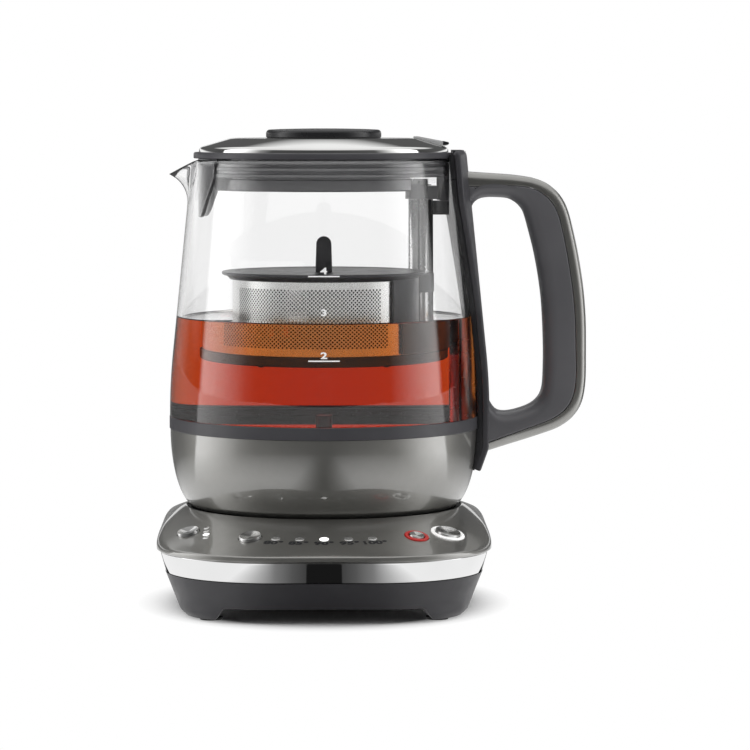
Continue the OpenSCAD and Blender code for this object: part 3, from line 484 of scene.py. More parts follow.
gunmetal = gunmetal_coat()
dark_plastic = moulded("dark plastic", (0.045, 0.044, 0.050), (0.052, 0.051, 0.057), (0.34, 0.44))
# painted light: the grip is a lighter copy of the dark plastic, for light falling on it from the right and back; its
# coat is its own
lit_grip_plastic = moulded(
    "grip plastic painted light", (0.088, 0.087, 0.094), (0.1, 0.099, 0.106), (0.36, 0.44), Coat_Weight=0.3, Coat_Roughness=0.3
)
# painted shade: the tray is a darker copy of the dark plastic, for the shadow it faces down into
shaded_tray_plastic = moulded("tray plastic painted shade", (0.028, 0.027, 0.031), (0.034, 0.033, 0.037), (0.36, 0.46))
skirt_plastic = moulded(
    "skirt plastic", (0.1, 0.1, 0.107), (0.115, 0.115, 0.122), (0.3, 0.38), 0.01,
    Coat_Weight=1, Coat_Roughness=0.2, Coat_IOR=1.8,
)
black_plastic = moulded("black plastic", (0.016, 0.016, 0.018), (0.020, 0.020, 0.022), (0.26, 0.36), 0.01)
# the seat's own black plastic, made darker still as painted shade for the recess it sits in
seat_plastic_and_shade = moulded("recess plastic and painted shade", (0.004, 0.004, 0.004), (0.006, 0.006, 0.006), (0.5, 0.6))
mirror_steel = sheet_steel("polished steel", (0.82, 0.82, 0.81), (0.03, 0.07), 0.0005)
trim_steel = sheet_steel("chromed trim", (0.86, 0.86, 0.86), (0.02, 0.05), 0.0003)
drum_steel = drum_sheet()
pan_steel = sheet_steel("pan steel", (0.07, 0.055, 0.05), (0.25, 0.4), 0.002)
post_steel = moulded("post steel", (0.8, 0.8, 0.8), (0.88, 0.88, 0.88), (0.2, 0.3), 0.001, metal=0.7)
tab_steel = moulded("tab steel", (0.62, 0.62, 0.62), (0.7, 0.7, 0.7), (0.3, 0.4), 0.002, metal=0.4)
bright_steel = plain("plated steel", (0.6, 0.6, 0.6), (0.25, 0.4), 1)
brass = plain("brass", (0.72, 0.52, 0.22), (0.25, 0.4), 1)
rubber = plain("rubber", (0.03, 0.03, 0.03), (0.6, 0.75))
seal_rubber = plain("seal rubber", (0.055, 0.055, 0.06), (0.4, 0.5))
board_green = plain("circuit board", (0.03, 0.14, 0.06), (0.35, 0.5))
magnet_grey = plain("magnet", (0.2, 0.2, 0.21), (0.35, 0.5), 0.9)
glass = clear("clear glass", 1.47, 25, 0.012).material
tea_liquid = brewed_tea()
white_ink = plain("white print", (0.85, 0.85, 0.85), (0.5, 0.6))
dark_ink = plain("dark print", (0.012, 0.012, 0.014), (0.5, 0.6))
lamp_off = plain("lamp", (0.72, 0.72, 0.71), (0.12, 0.2), 0.85, 0.002)
lamp_on = glowing("lit lamp", (1, 1, 0.98), 1)
# painted glow: the red plastic ring and the steel ring round the keep-warm and start buttons glow, though no lamp
# lights them
red_ring_painted_glow = glowing("red ring painted glow", (0.42, 0.008, 0.006), 0.1)
pale_ring_painted_glow = glowing("pale ring painted glow", (0.85, 0.85, 0.84), 0.35)

# Nodes shown in their own form, by finish
CARRIED = [
    (rubber, "base_feet cord_gland"),
    (bright_steel, "base_screws heating_element lift_motor handle_screws lift_screw knob_screw"),
    (seat_plastic_and_shade, "jug_seat"),
    (black_plastic, "base_connector button_switches jug_connector post_rail bracket_pad magnet_carriage"),
    (brass, "connector_contacts jug_contacts screw_coupling"),
    (board_green, "control_board"),
    (seal_rubber, "glass_seal"),
    (pan_steel, "jug_floor temperature_probe"),
    (dark_plastic, "jug_bottom rim_bracket"),
    (skirt_plastic, "post_collar"),
    (magnet_grey, "carriage_magnet basket_magnets"),
]
for finish, nodes in CARRIED:
    for node in nodes.split():
        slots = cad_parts[node].data.materials
        slots.clear()
        slots.append(finish)


# ---- power base ----

# Each button with its angle from the front, its radius and the radius of the hole round it
BUTTONS = [
    ("strength", -46, 5.25, 5.6), ("temperature", -22.8, 5.25, 5.6),
    ("keep_warm", 29.1, 3.65, 5.95), ("start", 40.8, 6, 8.1),
]
# Angle between the temperature lamps
LAMP_STEP = 7.3
# Distance from the axis beyond which the cover's front edge is lifted to a level line
COVER_LIP = 97
# How far the feet stand below the arches, and the corner radius of the tray's underside
FOOT_DEPTH, FOOT_CORNER = 6, 28


def panel_z(r):
    return BASE_H - (r - RECESS_R) * tan(PANEL_SLOPE)


def plan_distance(x, y, inset, corner):
    """Signed distance of a point from the base's outline moved in by inset."""
    half_x = BASE_W / 2 - inset - corner
    half_y = BASE_HALF - inset - corner
    dx = abs(x) - half_x
    dy = abs(y - BASE_MIDDLE) - half_y
    outside = hypot(max(dx, 0), max(dy, 0))
    return outside + min(max(dx, dy), 0) - corner


def plan_r(angle, inset, corner=None):
    """Distance from the jug's axis to the base's outline in a direction."""
    corner = BASE_CORNER - inset if corner is None else corner
    low, high = 10, 150
    for _ in range(26):
        mid = (low + high) / 2
        if plan_distance(*polar(mid, angle), inset, corner) < 0:
            low = mid
        else:
            high = mid
    return low


def cover_top(x, y):
    """Height of the cover: the panel's cone, turning down over the two shoulders."""
    r = hypot(x, y)
    cone = panel_z(r)
    if r > COVER_LIP and y < 0:
        edge = plan_r(atan2(y, x), 0)
        cone += max(COVER_EDGE - panel_z(edge), 0) * ((r - COVER_LIP) / (edge - COVER_LIP)) ** 2
    side = 47 - 0.81 * (abs(x) - 68)
    soft = 2.4
    h = min(max(0.5 + 0.5 * (side - cone) / soft, 0), 1)
    return side * (1 - h) + cone * h - soft * h * (1 - h)


def make_base_cover():
    panel_rings, edge_rings, wall = 9, 5, 2.2
    levels = [("well", 6), ("well", 1), ("well", 0.3)]
    levels += [("panel", k / panel_rings) for k in range(panel_rings)]
    levels += [("edge", k / edge_rings) for k in range(edge_rings + 1)]
    levels += [("lip", 0), ("lip", 0.6), ("lip", wall), ("inner", 1), ("inner", 0), ("well", 6)]

    def place(u, v):
        angle = u * tau
        kind, t = levels[round(v * (len(levels) - 1))]
        if kind == "well":
            return polar(RECESS_R, angle, BASE_H - t)
        if kind == "lip":
            return polar(plan_r(angle, t), angle, TRIM_TOP + (0.5 if t == 0 else 0))
        if kind == "inner":
            x, y = polar(RECESS_R + (plan_r(angle, 2.6) - RECESS_R) * t, angle)
            return x, y, min(cover_top(x, y) - wall, 44) if t else BASE_H - 6.2
        fillet, drop = 0.9 + 2.6 * smooth(abs(plan_r(angle, 0) * cos(angle)), 70, 79.5), 0
        if kind == "panel":
            start = RECESS_R + 0.5
            r = start + (plan_r(angle, fillet) - start) * t
        else:
            bend = t * pi / 2
            r, drop = plan_r(angle, fillet * (1 - sin(bend))), fillet * (1 - cos(bend))
        x, y = polar(r, angle)
        return x, y, cover_top(x, y) - drop

    cover = laid("base_shell", 224, len(levels) - 1, place)
    for _, angle, _, hole_r in BUTTONS:
        cut(cover, on_panel(rod(hole_r, -6, 4, steps=48), angle))
    fitted(cover, "base", gunmetal, "gunmetal_paint", "base_cover")


def panel_matrix(angle, r=CONTROL_R):
    """The control panel's own frame: z square to its surface."""
    return (
        Matrix.Rotation(radians(angle), 4, "Z")
        @ Matrix.Translation((0, -r, panel_z(r)))
        @ Matrix.Rotation(PANEL_SLOPE, 4, "X")
    )


def on_panel(piece, angle, r=CONTROL_R):
    return moved(piece, panel_matrix(angle, r))


def front_path(t, inset, end_y):
    """Point on the base's outline at t from -1, the left end, to 1, the right end."""
    corner = BASE_CORNER - inset
    straight = BASE_W / 2 - BASE_CORNER
    centre_y = -BASE_FRONT + BASE_CORNER
    stop = acos(min(max((centre_y - end_y) / corner, -1), 1))
    far = abs(t) * (straight + corner * stop)
    if far < straight:
        return copysign(far, t), -BASE_FRONT + inset
    a = (far - straight) / corner
    x = straight + corner * sin(a)
    return copysign(x, t), centre_y - corner * cos(a)


def make_base_trim():
    def place(u, v):
        bow = 0.35 * sin(v * pi)
        x, y = front_path(2 * u - 1, 4.2 - 3 * v - bow, -67.5 + 3.5 * v)
        return x, y, 20 + 9.9 * v

    trim = laid("chrome_trim", 180, 8, place)
    thickened(trim, 1.5)
    rounded_edges(trim, 0.35, 3, 60)
    fitted(trim, "base", trim_steel, "polished_steel", "base_trim")


def foot_block(x, y):
    """1 over the four corner feet, 0 under the arches between them."""
    side = smooth(abs(x), 45.4, 50.6)
    return side * max(smooth(-y, 58, 63), smooth(y, 38, 43))


def foot_z(x, y):
    return ARCH_H - FOOT_DEPTH * foot_block(x, y)


# Height, inset and corner radius of the tray's wall
TRAY_WALL = [(1.2, 14.5, FOOT_CORNER), (3.5, 11.5, 34), (9, 8.8, 44), (TRAY_H, 4.2, 52.8)]


def make_base_tray():
    wall_steps, foot_inset = 12, TRAY_WALL[0][1]
    levels = [("under", 1), ("under", 30), ("under", 22), ("under", 17)]
    levels += [("wall", k / wall_steps) for k in range(wall_steps + 1)]
    levels += [("band", (6.6, 19.8)), ("band", (5, 29.7)), ("band", (8, 29.7))]
    levels += [("band", (10, 12)), ("floor", 60), ("floor", 1)]

    def place(u, v):
        angle = u * tau
        kind, t = levels[round(v * (len(levels) - 1))]
        if kind in ("under", "floor") and t == 1:
            return 0, 0, ARCH_H if kind == "under" else TRAY_FLOOR
        if kind == "floor":
            return polar(t, angle, TRAY_FLOOR)
        if kind == "band":
            return polar(plan_r(angle, t[0]), angle, t[1])
        x, y = polar(plan_r(angle, t if kind == "under" else foot_inset, FOOT_CORNER), angle)
        foot = foot_z(x, y)
        if kind == "under":
            return x, y, foot
        z = foot + (TRAY_H - foot) * t ** 1.4
        return polar(plan_r(angle, *read_off(TRAY_WALL, z)), angle, z)

    tray = laid("tray_shell", 256, len(levels) - 1, place)
    fitted(tray, "base", shaded_tray_plastic, "dark_plastic", "base_tray", sharp=38)


def make_side_band():
    """Black band that carries the trim's line round the sides and back."""
    section = [(4.5, 19.6), (3.1, 24.5), (1.7, 29.6), (6.4, 29.6), (7.6, 19.6)]
    first, steps = radians(-39.2), 200
    turns = [first + (pi - 2 * first) * k / steps for k in range(steps + 1)]
    rings = [[polar(plan_r(angle, inset), angle, z) for inset, z in section] for angle in turns]
    fitted(skinned("side_band", rings), "base", black_plastic, "dark_plastic", sharp=40)


def make_gland_boss():
    profile = [(0, 0), (6.2, 0), (6.2, 11), (5.6, 11.9), (4.4, 11.9), (4.4, 4), (0, 4)]
    boss = turned("gland_boss", profile, steps=64)
    moved(boss, Matrix.Translation((0, 61.9, 13.4)) @ Matrix.Rotation(radians(-90), 4, "X"))
    fitted(boss, "base", dark_plastic, "dark_plastic")


def make_button(name, angle, r):
    """A disc with a dished face, on a stem with a wider foot."""
    dish = 3 * r

    def face_z(at):
        return 0.62 + dish - sqrt(dish * dish - at * at)

    rim = face_z(r - 0.5)
    side = [(0, -5), (r + 0.8, -5), (r + 0.8, -4.1), (r, -4), (r, rim - 0.35), (r - 0.12, rim - 0.1), (r - 0.4, rim)]
    face = [(r * k / 6, face_z(r * k / 6)) for k in range(5, -1, -1)]
    disc = on_panel(turned(name + "_disc", side + face, steps=96), angle)
    node = name + "_button"
    fitted(disc, node, spun_steel(name + "_disc steel", angle), "brushed_steel", node)


def make_ring(name, angle, r, finish, slot):
    low, high = r + 0.3, r + 2.15
    profile = [(low, -3), (high, -3), (high, 0.25), (high - 0.25, 0.5), (low + 0.25, 0.5), (low, 0.25)]
    # the ring glows only by its finish, a painted glow
    ring = on_panel(turned(name + "_glow", profile, steps=96), angle)
    fitted(ring, "base", finish, slot, name + "_ring")


def lens(angle, r, at):
    """A lamp window: a low dome in a shallow rim."""
    profile = [(0, -2.6), (r, -2.6), (r, 0.06), (r - 0.25, 0.2), (r * 0.5, 0.3), (0, 0.34)]
    return on_panel(turned("lamp", profile, steps=40), angle, at)


def joined(name, pieces):
    only(pieces[0])
    for piece in pieces[1:]:
        piece.select_set(True)
    bpy.ops.object.join()
    return named(name)


def make_lamps():
    """Five lamps in an arc for the temperature and four in a straight row for the strength, one of each lit."""
    row_x, row_y = 55.4, [61.3 + k * 4.13 for k in range(4)]
    rows = {
        "temperature": [(k * LAMP_STEP, 2.2, CONTROL_R, k == 0) for k in range(-2, 3)],
        "strength": [(degrees(atan2(-row_x, y)), 1.6, hypot(row_x, y), y == row_y[2]) for y in row_y],
    }
    for name, lamps in rows.items():
        dark = joined(name + "_lamps", [lens(*lamp) for *lamp, lit in lamps if not lit])
        fitted(dark, "base", lamp_off, "lamp_window", name + "_lights")
        bright = joined(name + "_lamps_lit", [lens(*lamp) for *lamp, lit in lamps if lit])
        fitted(bright, "base", lamp_on, "lamp_window")


def printed(text, size, spot, weight=0.03):
    """A printed figure: text made a thin mesh and laid where the matrix puts it."""
    deselect()
    bpy.ops.object.text_add(location=(0, 0, 0))
    drawn = bpy.context.object.data
    drawn.body, drawn.size = text, size
    drawn.align_x = drawn.align_y = "CENTER"
    drawn.resolution_u = 4
    drawn.extrude, drawn.offset = 0.03, weight * size
    bpy.ops.object.convert(target="MESH")
    figure = bpy.context.object
    figure.data.transform(Matrix.Scale(MM, 4))
    sewn(figure)
    modified(figure, "DECIMATE", decimate_type="DISSOLVE", angle_limit=radians(1))
    return moved(figure, spot)


def make_panel_figures():
    made = []
    for k, text in enumerate(("80", "85", "90", "95", "100")):
        spot = panel_matrix((k - 2) * LAMP_STEP, CONTROL_R + 4.4) @ Matrix.Translation((0, 0, FIGURE_LIFT))
        made.append(printed(text + "\u00b0", 4.6, spot @ Matrix.Scale(FIGURE_WIDTH, 4, (1, 0, 0)), 0.04))
    fitted(joined("panel_figures", made), "base", dark_ink, "black_plastic")


make_base_cover()
make_base_trim()
make_base_tray()
make_side_band()
make_gland_boss()
for button, at, size, _ in BUTTONS:
    make_button(button, at, size)
# the two rings glow by a painted glow
make_ring(*BUTTONS[2][:3], red_ring_painted_glow, "red_ring")
make_ring(*BUTTONS[3][:3], pale_ring_painted_glow, "polished_steel")
make_lamps()
make_panel_figures()


# ---- jug ----

BOWL_FOOT_R, BOWL_BULGE = 61.5, 13.4
BEND_Z, BEND = RING_TOP + 0.5, 30
TAPER = (JUG_LOW_R - RIM_R) / (RIM_Z - BEND_Z - BEND / 2)
SPOUT_LOW, SPOUT_OUT, SPOUT_DROP = 191, 11.8, 7


def jug_r(z):
    """Outer radius of the glass at a height."""
    if z <= BEND_Z:
        return JUG_LOW_R
    if z < BEND_Z + BEND:
        return JUG_LOW_R - TAPER * (z - BEND_Z) ** 2 / (2 * BEND)
    return JUG_LOW_R - TAPER * (z - BEND_Z - BEND / 2)


def pull_spout(piece):
    """Draws the lip out of the rim on the -X side, wider and lower towards its end."""
    for v in piece.data.vertices:
        x, y, z = v.co / MM
        t = min(max((z - SPOUT_LOW) / (RIM_Z - SPOUT_LOW), 0), 1)
        turn = abs(degrees(atan2(y, -x)))
        reach = 7 + 9.5 * t
        if t <= 0 or turn >= reach:
            continue
        w = cos(turn / reach * pi / 2) ** 2
        r = hypot(x, y)
        out = SPOUT_OUT * t ** 1.9 * w
        v.co = Vector((x * (r + out) / r, y * (r + out) / r, z - SPOUT_DROP * t ** 2.1 * w)) * MM


def make_glass():
    levels = [RING_TOP, 90] + [93 + k * 3 for k in range(32)] + [189 + k * 1.5 for k in range(16)]
    top = RIM_Z - 1.1
    outer = [(74.2, 86.4), (74.2, RING_TOP)] + [(jug_r(z), z) for z in levels if z < top]
    rim = arc((RIM_R - 1.3, RIM_Z - 1.25), 1.25, 0, 180, 8)
    inner = [(jug_r(z) - GLASS_WALL, z) for z in reversed(levels) if z < top] + [(72.5, 86.4)]
    piece = turned("glass_wall", outer + rim + inner)
    pull_spout(piece)
    fitted(piece, "jug", glass, "clear_glass", "glass_jug")


def make_tea():
    """The tea goes a little into the glass, so that no air shows between them, and creeps up its wall."""
    skin, low = 0.35, 85.2
    levels = [low, 90] + [94 + k * 4 for k in range(11)]
    wall = [(jug_r(z) - GLASS_WALL + skin, z) for z in levels if z < TEA_TOP]
    edge = jug_r(TEA_TOP) - GLASS_WALL
    creep = [(edge + skin, 0.9), (edge - 0.35, 0.55), (edge - 1.1, 0.18), (edge - 2.4, 0), (0, 0)]
    piece = turned("tea", [(0, low)] + wall + [(r, TEA_TOP + up) for r, up in creep], steps=192)
    cut(piece, rod(4.8, 80, 160, (POST_X, POST_Y)))
    fitted(piece, "jug", tea_liquid, "clear_glass")


def make_collar_ring():
    profile = [
        (71.3, 83.35), (75, 83.35), (75.3, 83.6), (75.3, 89.1), (75.1, 89.4), (74.4, 89.45), (74.4, 86.3),
        (71.3, 86.3),
    ]
    fitted(turned("glass_ring", profile), "jug", dark_plastic, "dark_plastic", "collar_ring")


def make_shell():
    deep, steps = 38.75, 18

    def curve(wall):
        turns = [k * pi / 2 / steps for k in range(steps + 1)]
        return [(BOWL_FOOT_R + (BOWL_BULGE - wall) * cos(a), RING_LOW - 0.05 - (deep - wall) * sin(a)) for a in turns]

    profile = curve(0) + [(54, 44.5), (54, 46)] + curve(1.5)[::-1] + [(66.6, 81.8), (66.6, 83.25)]
    fitted(turned("metal_bowl", profile), "jug", gunmetal, "gunmetal_paint", "metal_shell")


def make_post():
    """The tube, open in a groove at the front, with a dark strip in the groove."""
    groove, deep, steps = 0.45, 1.3, 72
    start = asin(groove / POST_R)
    turns = [start + (tau - 2 * start) * k / steps for k in range(steps + 1)]
    points = [(POST_R * sin(a), -POST_R * cos(a)) for a in turns]
    points += [(-groove, -POST_R + deep), (groove, -POST_R + deep)]
    post = slab("lift_tube", [(POST_X + x, POST_Y + y, 84.9) for x, y in points], (0, 0, 119.1))
    rounded_edges(post, 0.3, 2, 70)
    fitted(post, "jug", post_steel, "polished_steel", "lift_post")
    points = [(-0.5, -4.2), (0.5, -4.2), (0.5, -3.2), (-0.5, -3.2)]
    slot = slab("post_slot", [(POST_X + x, POST_Y + y, 86) for x, y in points], (0, 0, 117))
    rounded_edges(slot, 0.1, 1, 40)
    fitted(slot, "jug", black_plastic, "black_plastic")


# Half of the column's width at a height
COLUMN_HALF = [(COLUMN_LOW, 11), (82, 12), (139.5, 12), (193.8, 24.5), (217.5, 23.5), (COLUMN_TOP, 22.5)]


def column_skin(z):
    """Outer radius of the column at a height, drawn in at its foot and rounded over at its top."""
    foot = max(0, 4.1 * (1 - (z - COLUMN_LOW) / 11.5))
    over = 1 - sqrt(1 - min(max((z - 215.5) / 3.2, 0), 1) ** 2)
    return jug_r(z) + 5.7 - foot - 3 * over


def column_piece(name, low, high, out, wall, narrow, steps):
    def place(u, v):
        z = low + (high - low) * v
        r = column_skin(z) + out
        y = (2 * u - 1) * (read_off(COLUMN_HALF, z)[0] - narrow)
        return sqrt(r * r - y * y), y, z

    return thickened(laid(name, 28, steps, place), wall)


def jug_body_cutter():
    """The jug's own form and a little room, which the handle pieces are cut to."""
    gap = 0.2
    turns = [k * pi / 32 for k in range(15, -1, -1)]
    bowl = [(BOWL_FOOT_R + (BOWL_BULGE + gap) * cos(a), RING_LOW - 38.8 * sin(a)) for a in turns]
    levels = [90 + k * 4 for k in range(31)] + [RIM_Z, 230]
    profile = [(0, 40), (BOWL_FOOT_R, 40)] + bowl + [(75.3 + gap, 83.3), (75.3 + gap, 89.9)]
    profile += [(jug_r(min(z, RIM_Z)) + gap, z) for z in levels] + [(0, 230)]
    return turned("cutter", profile, steps=192)


def make_column():
    skin = column_piece("handle_column_shell", COLUMN_LOW, COLUMN_TOP, 0, 3.2, 0, 156)
    liner = column_piece("handle_column_liner", 62.8, 216.4, -3.1, 5, 0.5, 78)
    for piece in (skin, liner):
        cut(piece, jug_body_cutter())
    rounded_edges(skin, 1.3, 4, 50)
    rounded_edges(liner, 0.8, 3, 50)
    fitted(skin, "jug", dark_plastic, "dark_plastic", "handle_column", sharp=35)
    fitted(liner, "jug", black_plastic, "dark_plastic", sharp=35)


# Points (x, z) along the handle's outer edge and along the finger gap, from the top
HANDLE_OUT = [
    (69.5, 207.9), (76.6, 207.4), (84.3, 206.9), (92.1, 206.3), (99.9, 205.2), (103.8, 204.2), (107.7, 202.5),
    (111.2, 200), (114.3, 196.9), (117, 192.6), (119.2, 186.8), (121.3, 178.3), (123, 170.5), (124.4, 162.7),
    (125.6, 154.9), (126.5, 147.2), (127.1, 139.4), (127.4, 131.6), (127.46, 120), (127.4, 108.2), (126.6, 100.4),
    (125.2, 95.2), (122.9, 91), (119.7, 87.4), (115.5, 84.4), (111.6, 82.5), (103.8, 79.8), (96, 77.3),
    (88.2, 74.9), (80.4, 72.4), (77, 71.4),
]
HANDLE_GAP = [
    (71.2, 189.5), (72.6, 192.6), (75.2, 194.7), (79, 195.5), (84, 195.5), (89, 195), (92.6, 193.3),
    (95.4, 190.8), (97.4, 187.2), (99.9, 178.3), (101.9, 170.5), (103.5, 162.7), (104.8, 154.9), (105.8, 147.2),
    (106.4, 139.4), (106.8, 131.6), (107.1, 120), (106.9, 108.2), (106.3, 102.2), (104.6, 98.2), (101.2, 95),
    (96.6, 92.9), (91.6, 91.5), (87.2, 91.1), (84, 92), (81.8, 94.6), (79.4, 99),
]


def strip_thickness(x, z):
    """The handle's outer strip is deepest at its top start and slimmest at its lower end."""
    if z > 150:
        return 5.4 + 1.4 * (1 - smooth(x, 74, 108))
    return 5.4 - 1.2 * (1 - smooth(x, 84, 116))


def make_handle():
    """Grip and outer strip, both swept along the handle between its outer edge and the finger gap."""
    outer, gap = flowing(HANDLE_OUT, 96), flowing(HANDLE_GAP, 96)
    grip_rings, strip_rings = [], []
    for a, b in zip(outer, gap):
        deep = (b - a).length
        way = (b - a) / deep
        t = strip_thickness(a.x, a.y)

        def ring(corners, steps):
            return [((a + way * d).x, y, (a + way * d).y) for y, d in rounded(corners, steps)]

        strip_rings.append(ring([(-10.8, 0, 4), (10.8, 0, 4), (10.9, t - 0.1, 0.4), (-10.9, t - 0.1, 0.4)], 6))
        grip_rings.append(ring([(-11, t, 0.9), (11, t, 0.9), (11, deep, 7), (-11, deep, 7)], 7))
    strip, grip = skinned("handle_band", strip_rings), skinned("handle_loop", grip_rings)
    fitted(strip, "jug", gunmetal, "gunmetal_paint", "handle_strip", sharp=60)
    fitted(grip, "jug", lit_grip_plastic, "dark_plastic", "handle_grip", sharp=60)


def make_level_marks():
    """Figures and lines drawn on a flat sheet before the glass, then bent round it."""
    upright = Matrix.Rotation(radians(90), 4, "X")
    made = []
    for text, z in (("4", 162.4), ("3", 143), ("2", 123)):
        spot = Matrix.Translation((0, 0, z)) @ upright @ Matrix.Scale(MARK_WIDTH, 4, (1, 0, 0))
        made.append(printed(text, 4.2, spot))
    for z in (160, 120.6):
        line = laid("line", 24, 1, lambda u, v: (7.4 * (2 * u - 1), 0, z + 0.3 * (2 * v - 1)))
        made.append(thickened(line, 0.05, 0, False))
    marks = joined("level_marks", made)
    for v in marks.data.vertices:
        x, y, z = v.co / MM
        r = jug_r(z) + MARK_LIFT - y
        v.co = Vector((r * sin(x / r), -r * cos(x / r), z)) * MM
    fitted(marks, "jug", white_ink, "lamp_window")


make_glass()
make_tea()
make_collar_ring()
make_shell()
make_post()
make_column()
make_handle()
make_level_marks()


# ---- lid ----


def make_lid():
    low = LID_TOP - 1
    top = [(0, LID_TOP), (44.2, LID_TOP), (45.4, 224.02), (46.6, 223.75), (58.4, 220.25), (59.6, 219.8), (60.2, 219.3)]
    side = [(60.45, 218.6), (60.6, 217.45), (59.6, 217.45), (58.6, 218.9)]
    dish = turned("lid_dish", top + side + [(44.4, low), (0, low)])
    fitted(dish, "lid", mirror_steel, "polished_steel", "lid_cover")

    low, high, inner = 214.35, 217.38, 50
    profile = [(inner, low), (62.9, low), (63.2, 214.7), (63.15, 216.6), (62.8, 217.2), (62.2, high), (inner, high)]
    ring = turned("lid_band", profile)

    def notch_place(u, v):
        angle, z = radians(29 * u - 14.5), 213
        return polar(70, angle, z) if v else (56.5, 56.5 * tan(angle), z)

    notch = thickened(laid("cutter", 8, 1, notch_place), 6, 1, False)
    cut(ring, sewn(notch))
    rounded_edges(ring, 0.2, 2, 60)
    fitted(ring, "lid", dark_plastic, "dark_plastic", "lid_ring")


def make_skirt():
    """A cup with a shallow groove, notched at its foot towards the handle and the spout."""
    out, far, under = 55.5, 90, 190
    profile = [
        (0, 214.3), (out + 0.6, 214.3), (out + 0.6, 211.2), (out, 210.7), (out, 206.4), (out - 0.5, 206),
        (out - 0.5, 204.7), (out, 204.3), (out, 199.6), (out - 0.5, 199), (out - 1.6, 199), (out - 2, 199.5),
        (out - 2, 212.3), (0, 212.3),
    ]
    skirt = turned("lid_plug", profile)
    for centre, half, low in ((0, 42.5, 205.5), (180, 22.5, 204)):
        outline = [(0, 0, under)] + [polar(far, radians(centre + a), under) for a in (-half, 0, half)]
        cut(skirt, slab("cutter", outline, (0, 0, low - under)))
    rounded_edges(skirt, 0.3, 2, 60)
    fitted(skirt, "lid", skirt_plastic, "dark_plastic", "lid_skirt")


def make_gasket():
    """Ribbed lip that seals the lid against the glass, open at the spout and at the bracket."""
    section = [
        (56.3, 205.5), (59.9, 205.5), (60.6, 205.9), (60.7, 207.1), (60.1, 207.5), (60, 208.6), (60.5, 208.9),
        (60.6, 210.1), (60, 210.5), (59.9, 211.6), (60.4, 211.9), (60.4, 213), (59.9, 213.4), (56.3, 213.4),
    ]
    halves, first, last, steps = [], 17, 145.5, 90
    for side in (1, -1):
        turns = [side * radians(first + (last - first) * k / steps) for k in range(steps + 1)]
        halves.append(skinned("half", [[polar(r, a, z) for r, z in section] for a in turns]))
    fitted(joined("lid_gasket", halves), "lid", skirt_plastic, "rubber", "lid_seal", sharp=50)


def make_spout_screen():
    low, high, corner = 186, 214.2, 5

    def place(u, v):
        z = low + (high - low) * v ** 1.3
        half = 17.5 + 15.5 * smooth(z, low - 6, 209)
        if z < low + corner:
            half -= corner - sqrt(max(corner * corner - (low + corner - z) ** 2, 0))
        y = (2 * u - 1) * half
        return -sqrt(SCREEN_R * SCREEN_R - y * y), y, z

    screen = laid("pouring_screen", 40, 48, place)
    thickened(screen, 1.5)
    rounded_edges(screen, 0.4, 2, 60)
    fitted(screen, "lid", skirt_plastic, "dark_plastic", "spout_screen", sharp=40)


def make_knob():
    r, z = 28, LID_TOP
    crown = [(r * k / 8, z + 4.7 - 0.55 * (k / 8) ** 2) for k in range(7)]
    profile = crown + arc((r - 1.9, z + 2.25), 1.9, 90, 0, 8) + [(r, z + 0.7), (r - 0.5, z + 0.1), (0, z + 0.02)]
    fitted(turned("knob_cap", profile, steps=160), "lid", black_plastic, "black_plastic", "lid_knob")


def make_thumb_tab():
    """A steel bar down the lid's slope, a plate laid on it and a dark tip at its end."""
    bar = [
        (43.6, 224.13), (45.4, 224.08), (46.6, 223.82), (58, 220.46), (59.3, 220.5), (60.3, 220.95), (60.5, 221.5),
        (60.2, 222), (58.6, 222.15), (45.7, 224.62), (43.6, 224.62),
    ]
    plate = [(43.8, 224.64), (45.7, 224.64), (57.6, 222.36), (57.7, 222.7), (45.9, 224.99), (43.8, 224.99)]
    end = [(57.8, 222.33), (57.8, 220.7), (60.45, 221), (60.75, 221.5), (60.5, 222.2), (58, 222.75)]
    tab = rounded_edges(plank("tab_bar", bar, 12), 0.2, 2, 50)
    fitted(tab, "lid", tab_steel, "polished_steel", "lid_tab")
    tip = rounded_edges(plank("tab_tip", end, 12.3), 0.2, 2, 30)
    fitted(tip, "lid", black_plastic, "black_plastic")
    cap = rounded_edges(plank("tab_plate", plate, 11.6), 0.08, 2, 50)
    fitted(cap, "lid", tab_steel, "polished_steel")


make_lid()
make_skirt()
make_gasket()
make_spout_screen()
make_knob()
make_thumb_tab()


# ---- basket ----


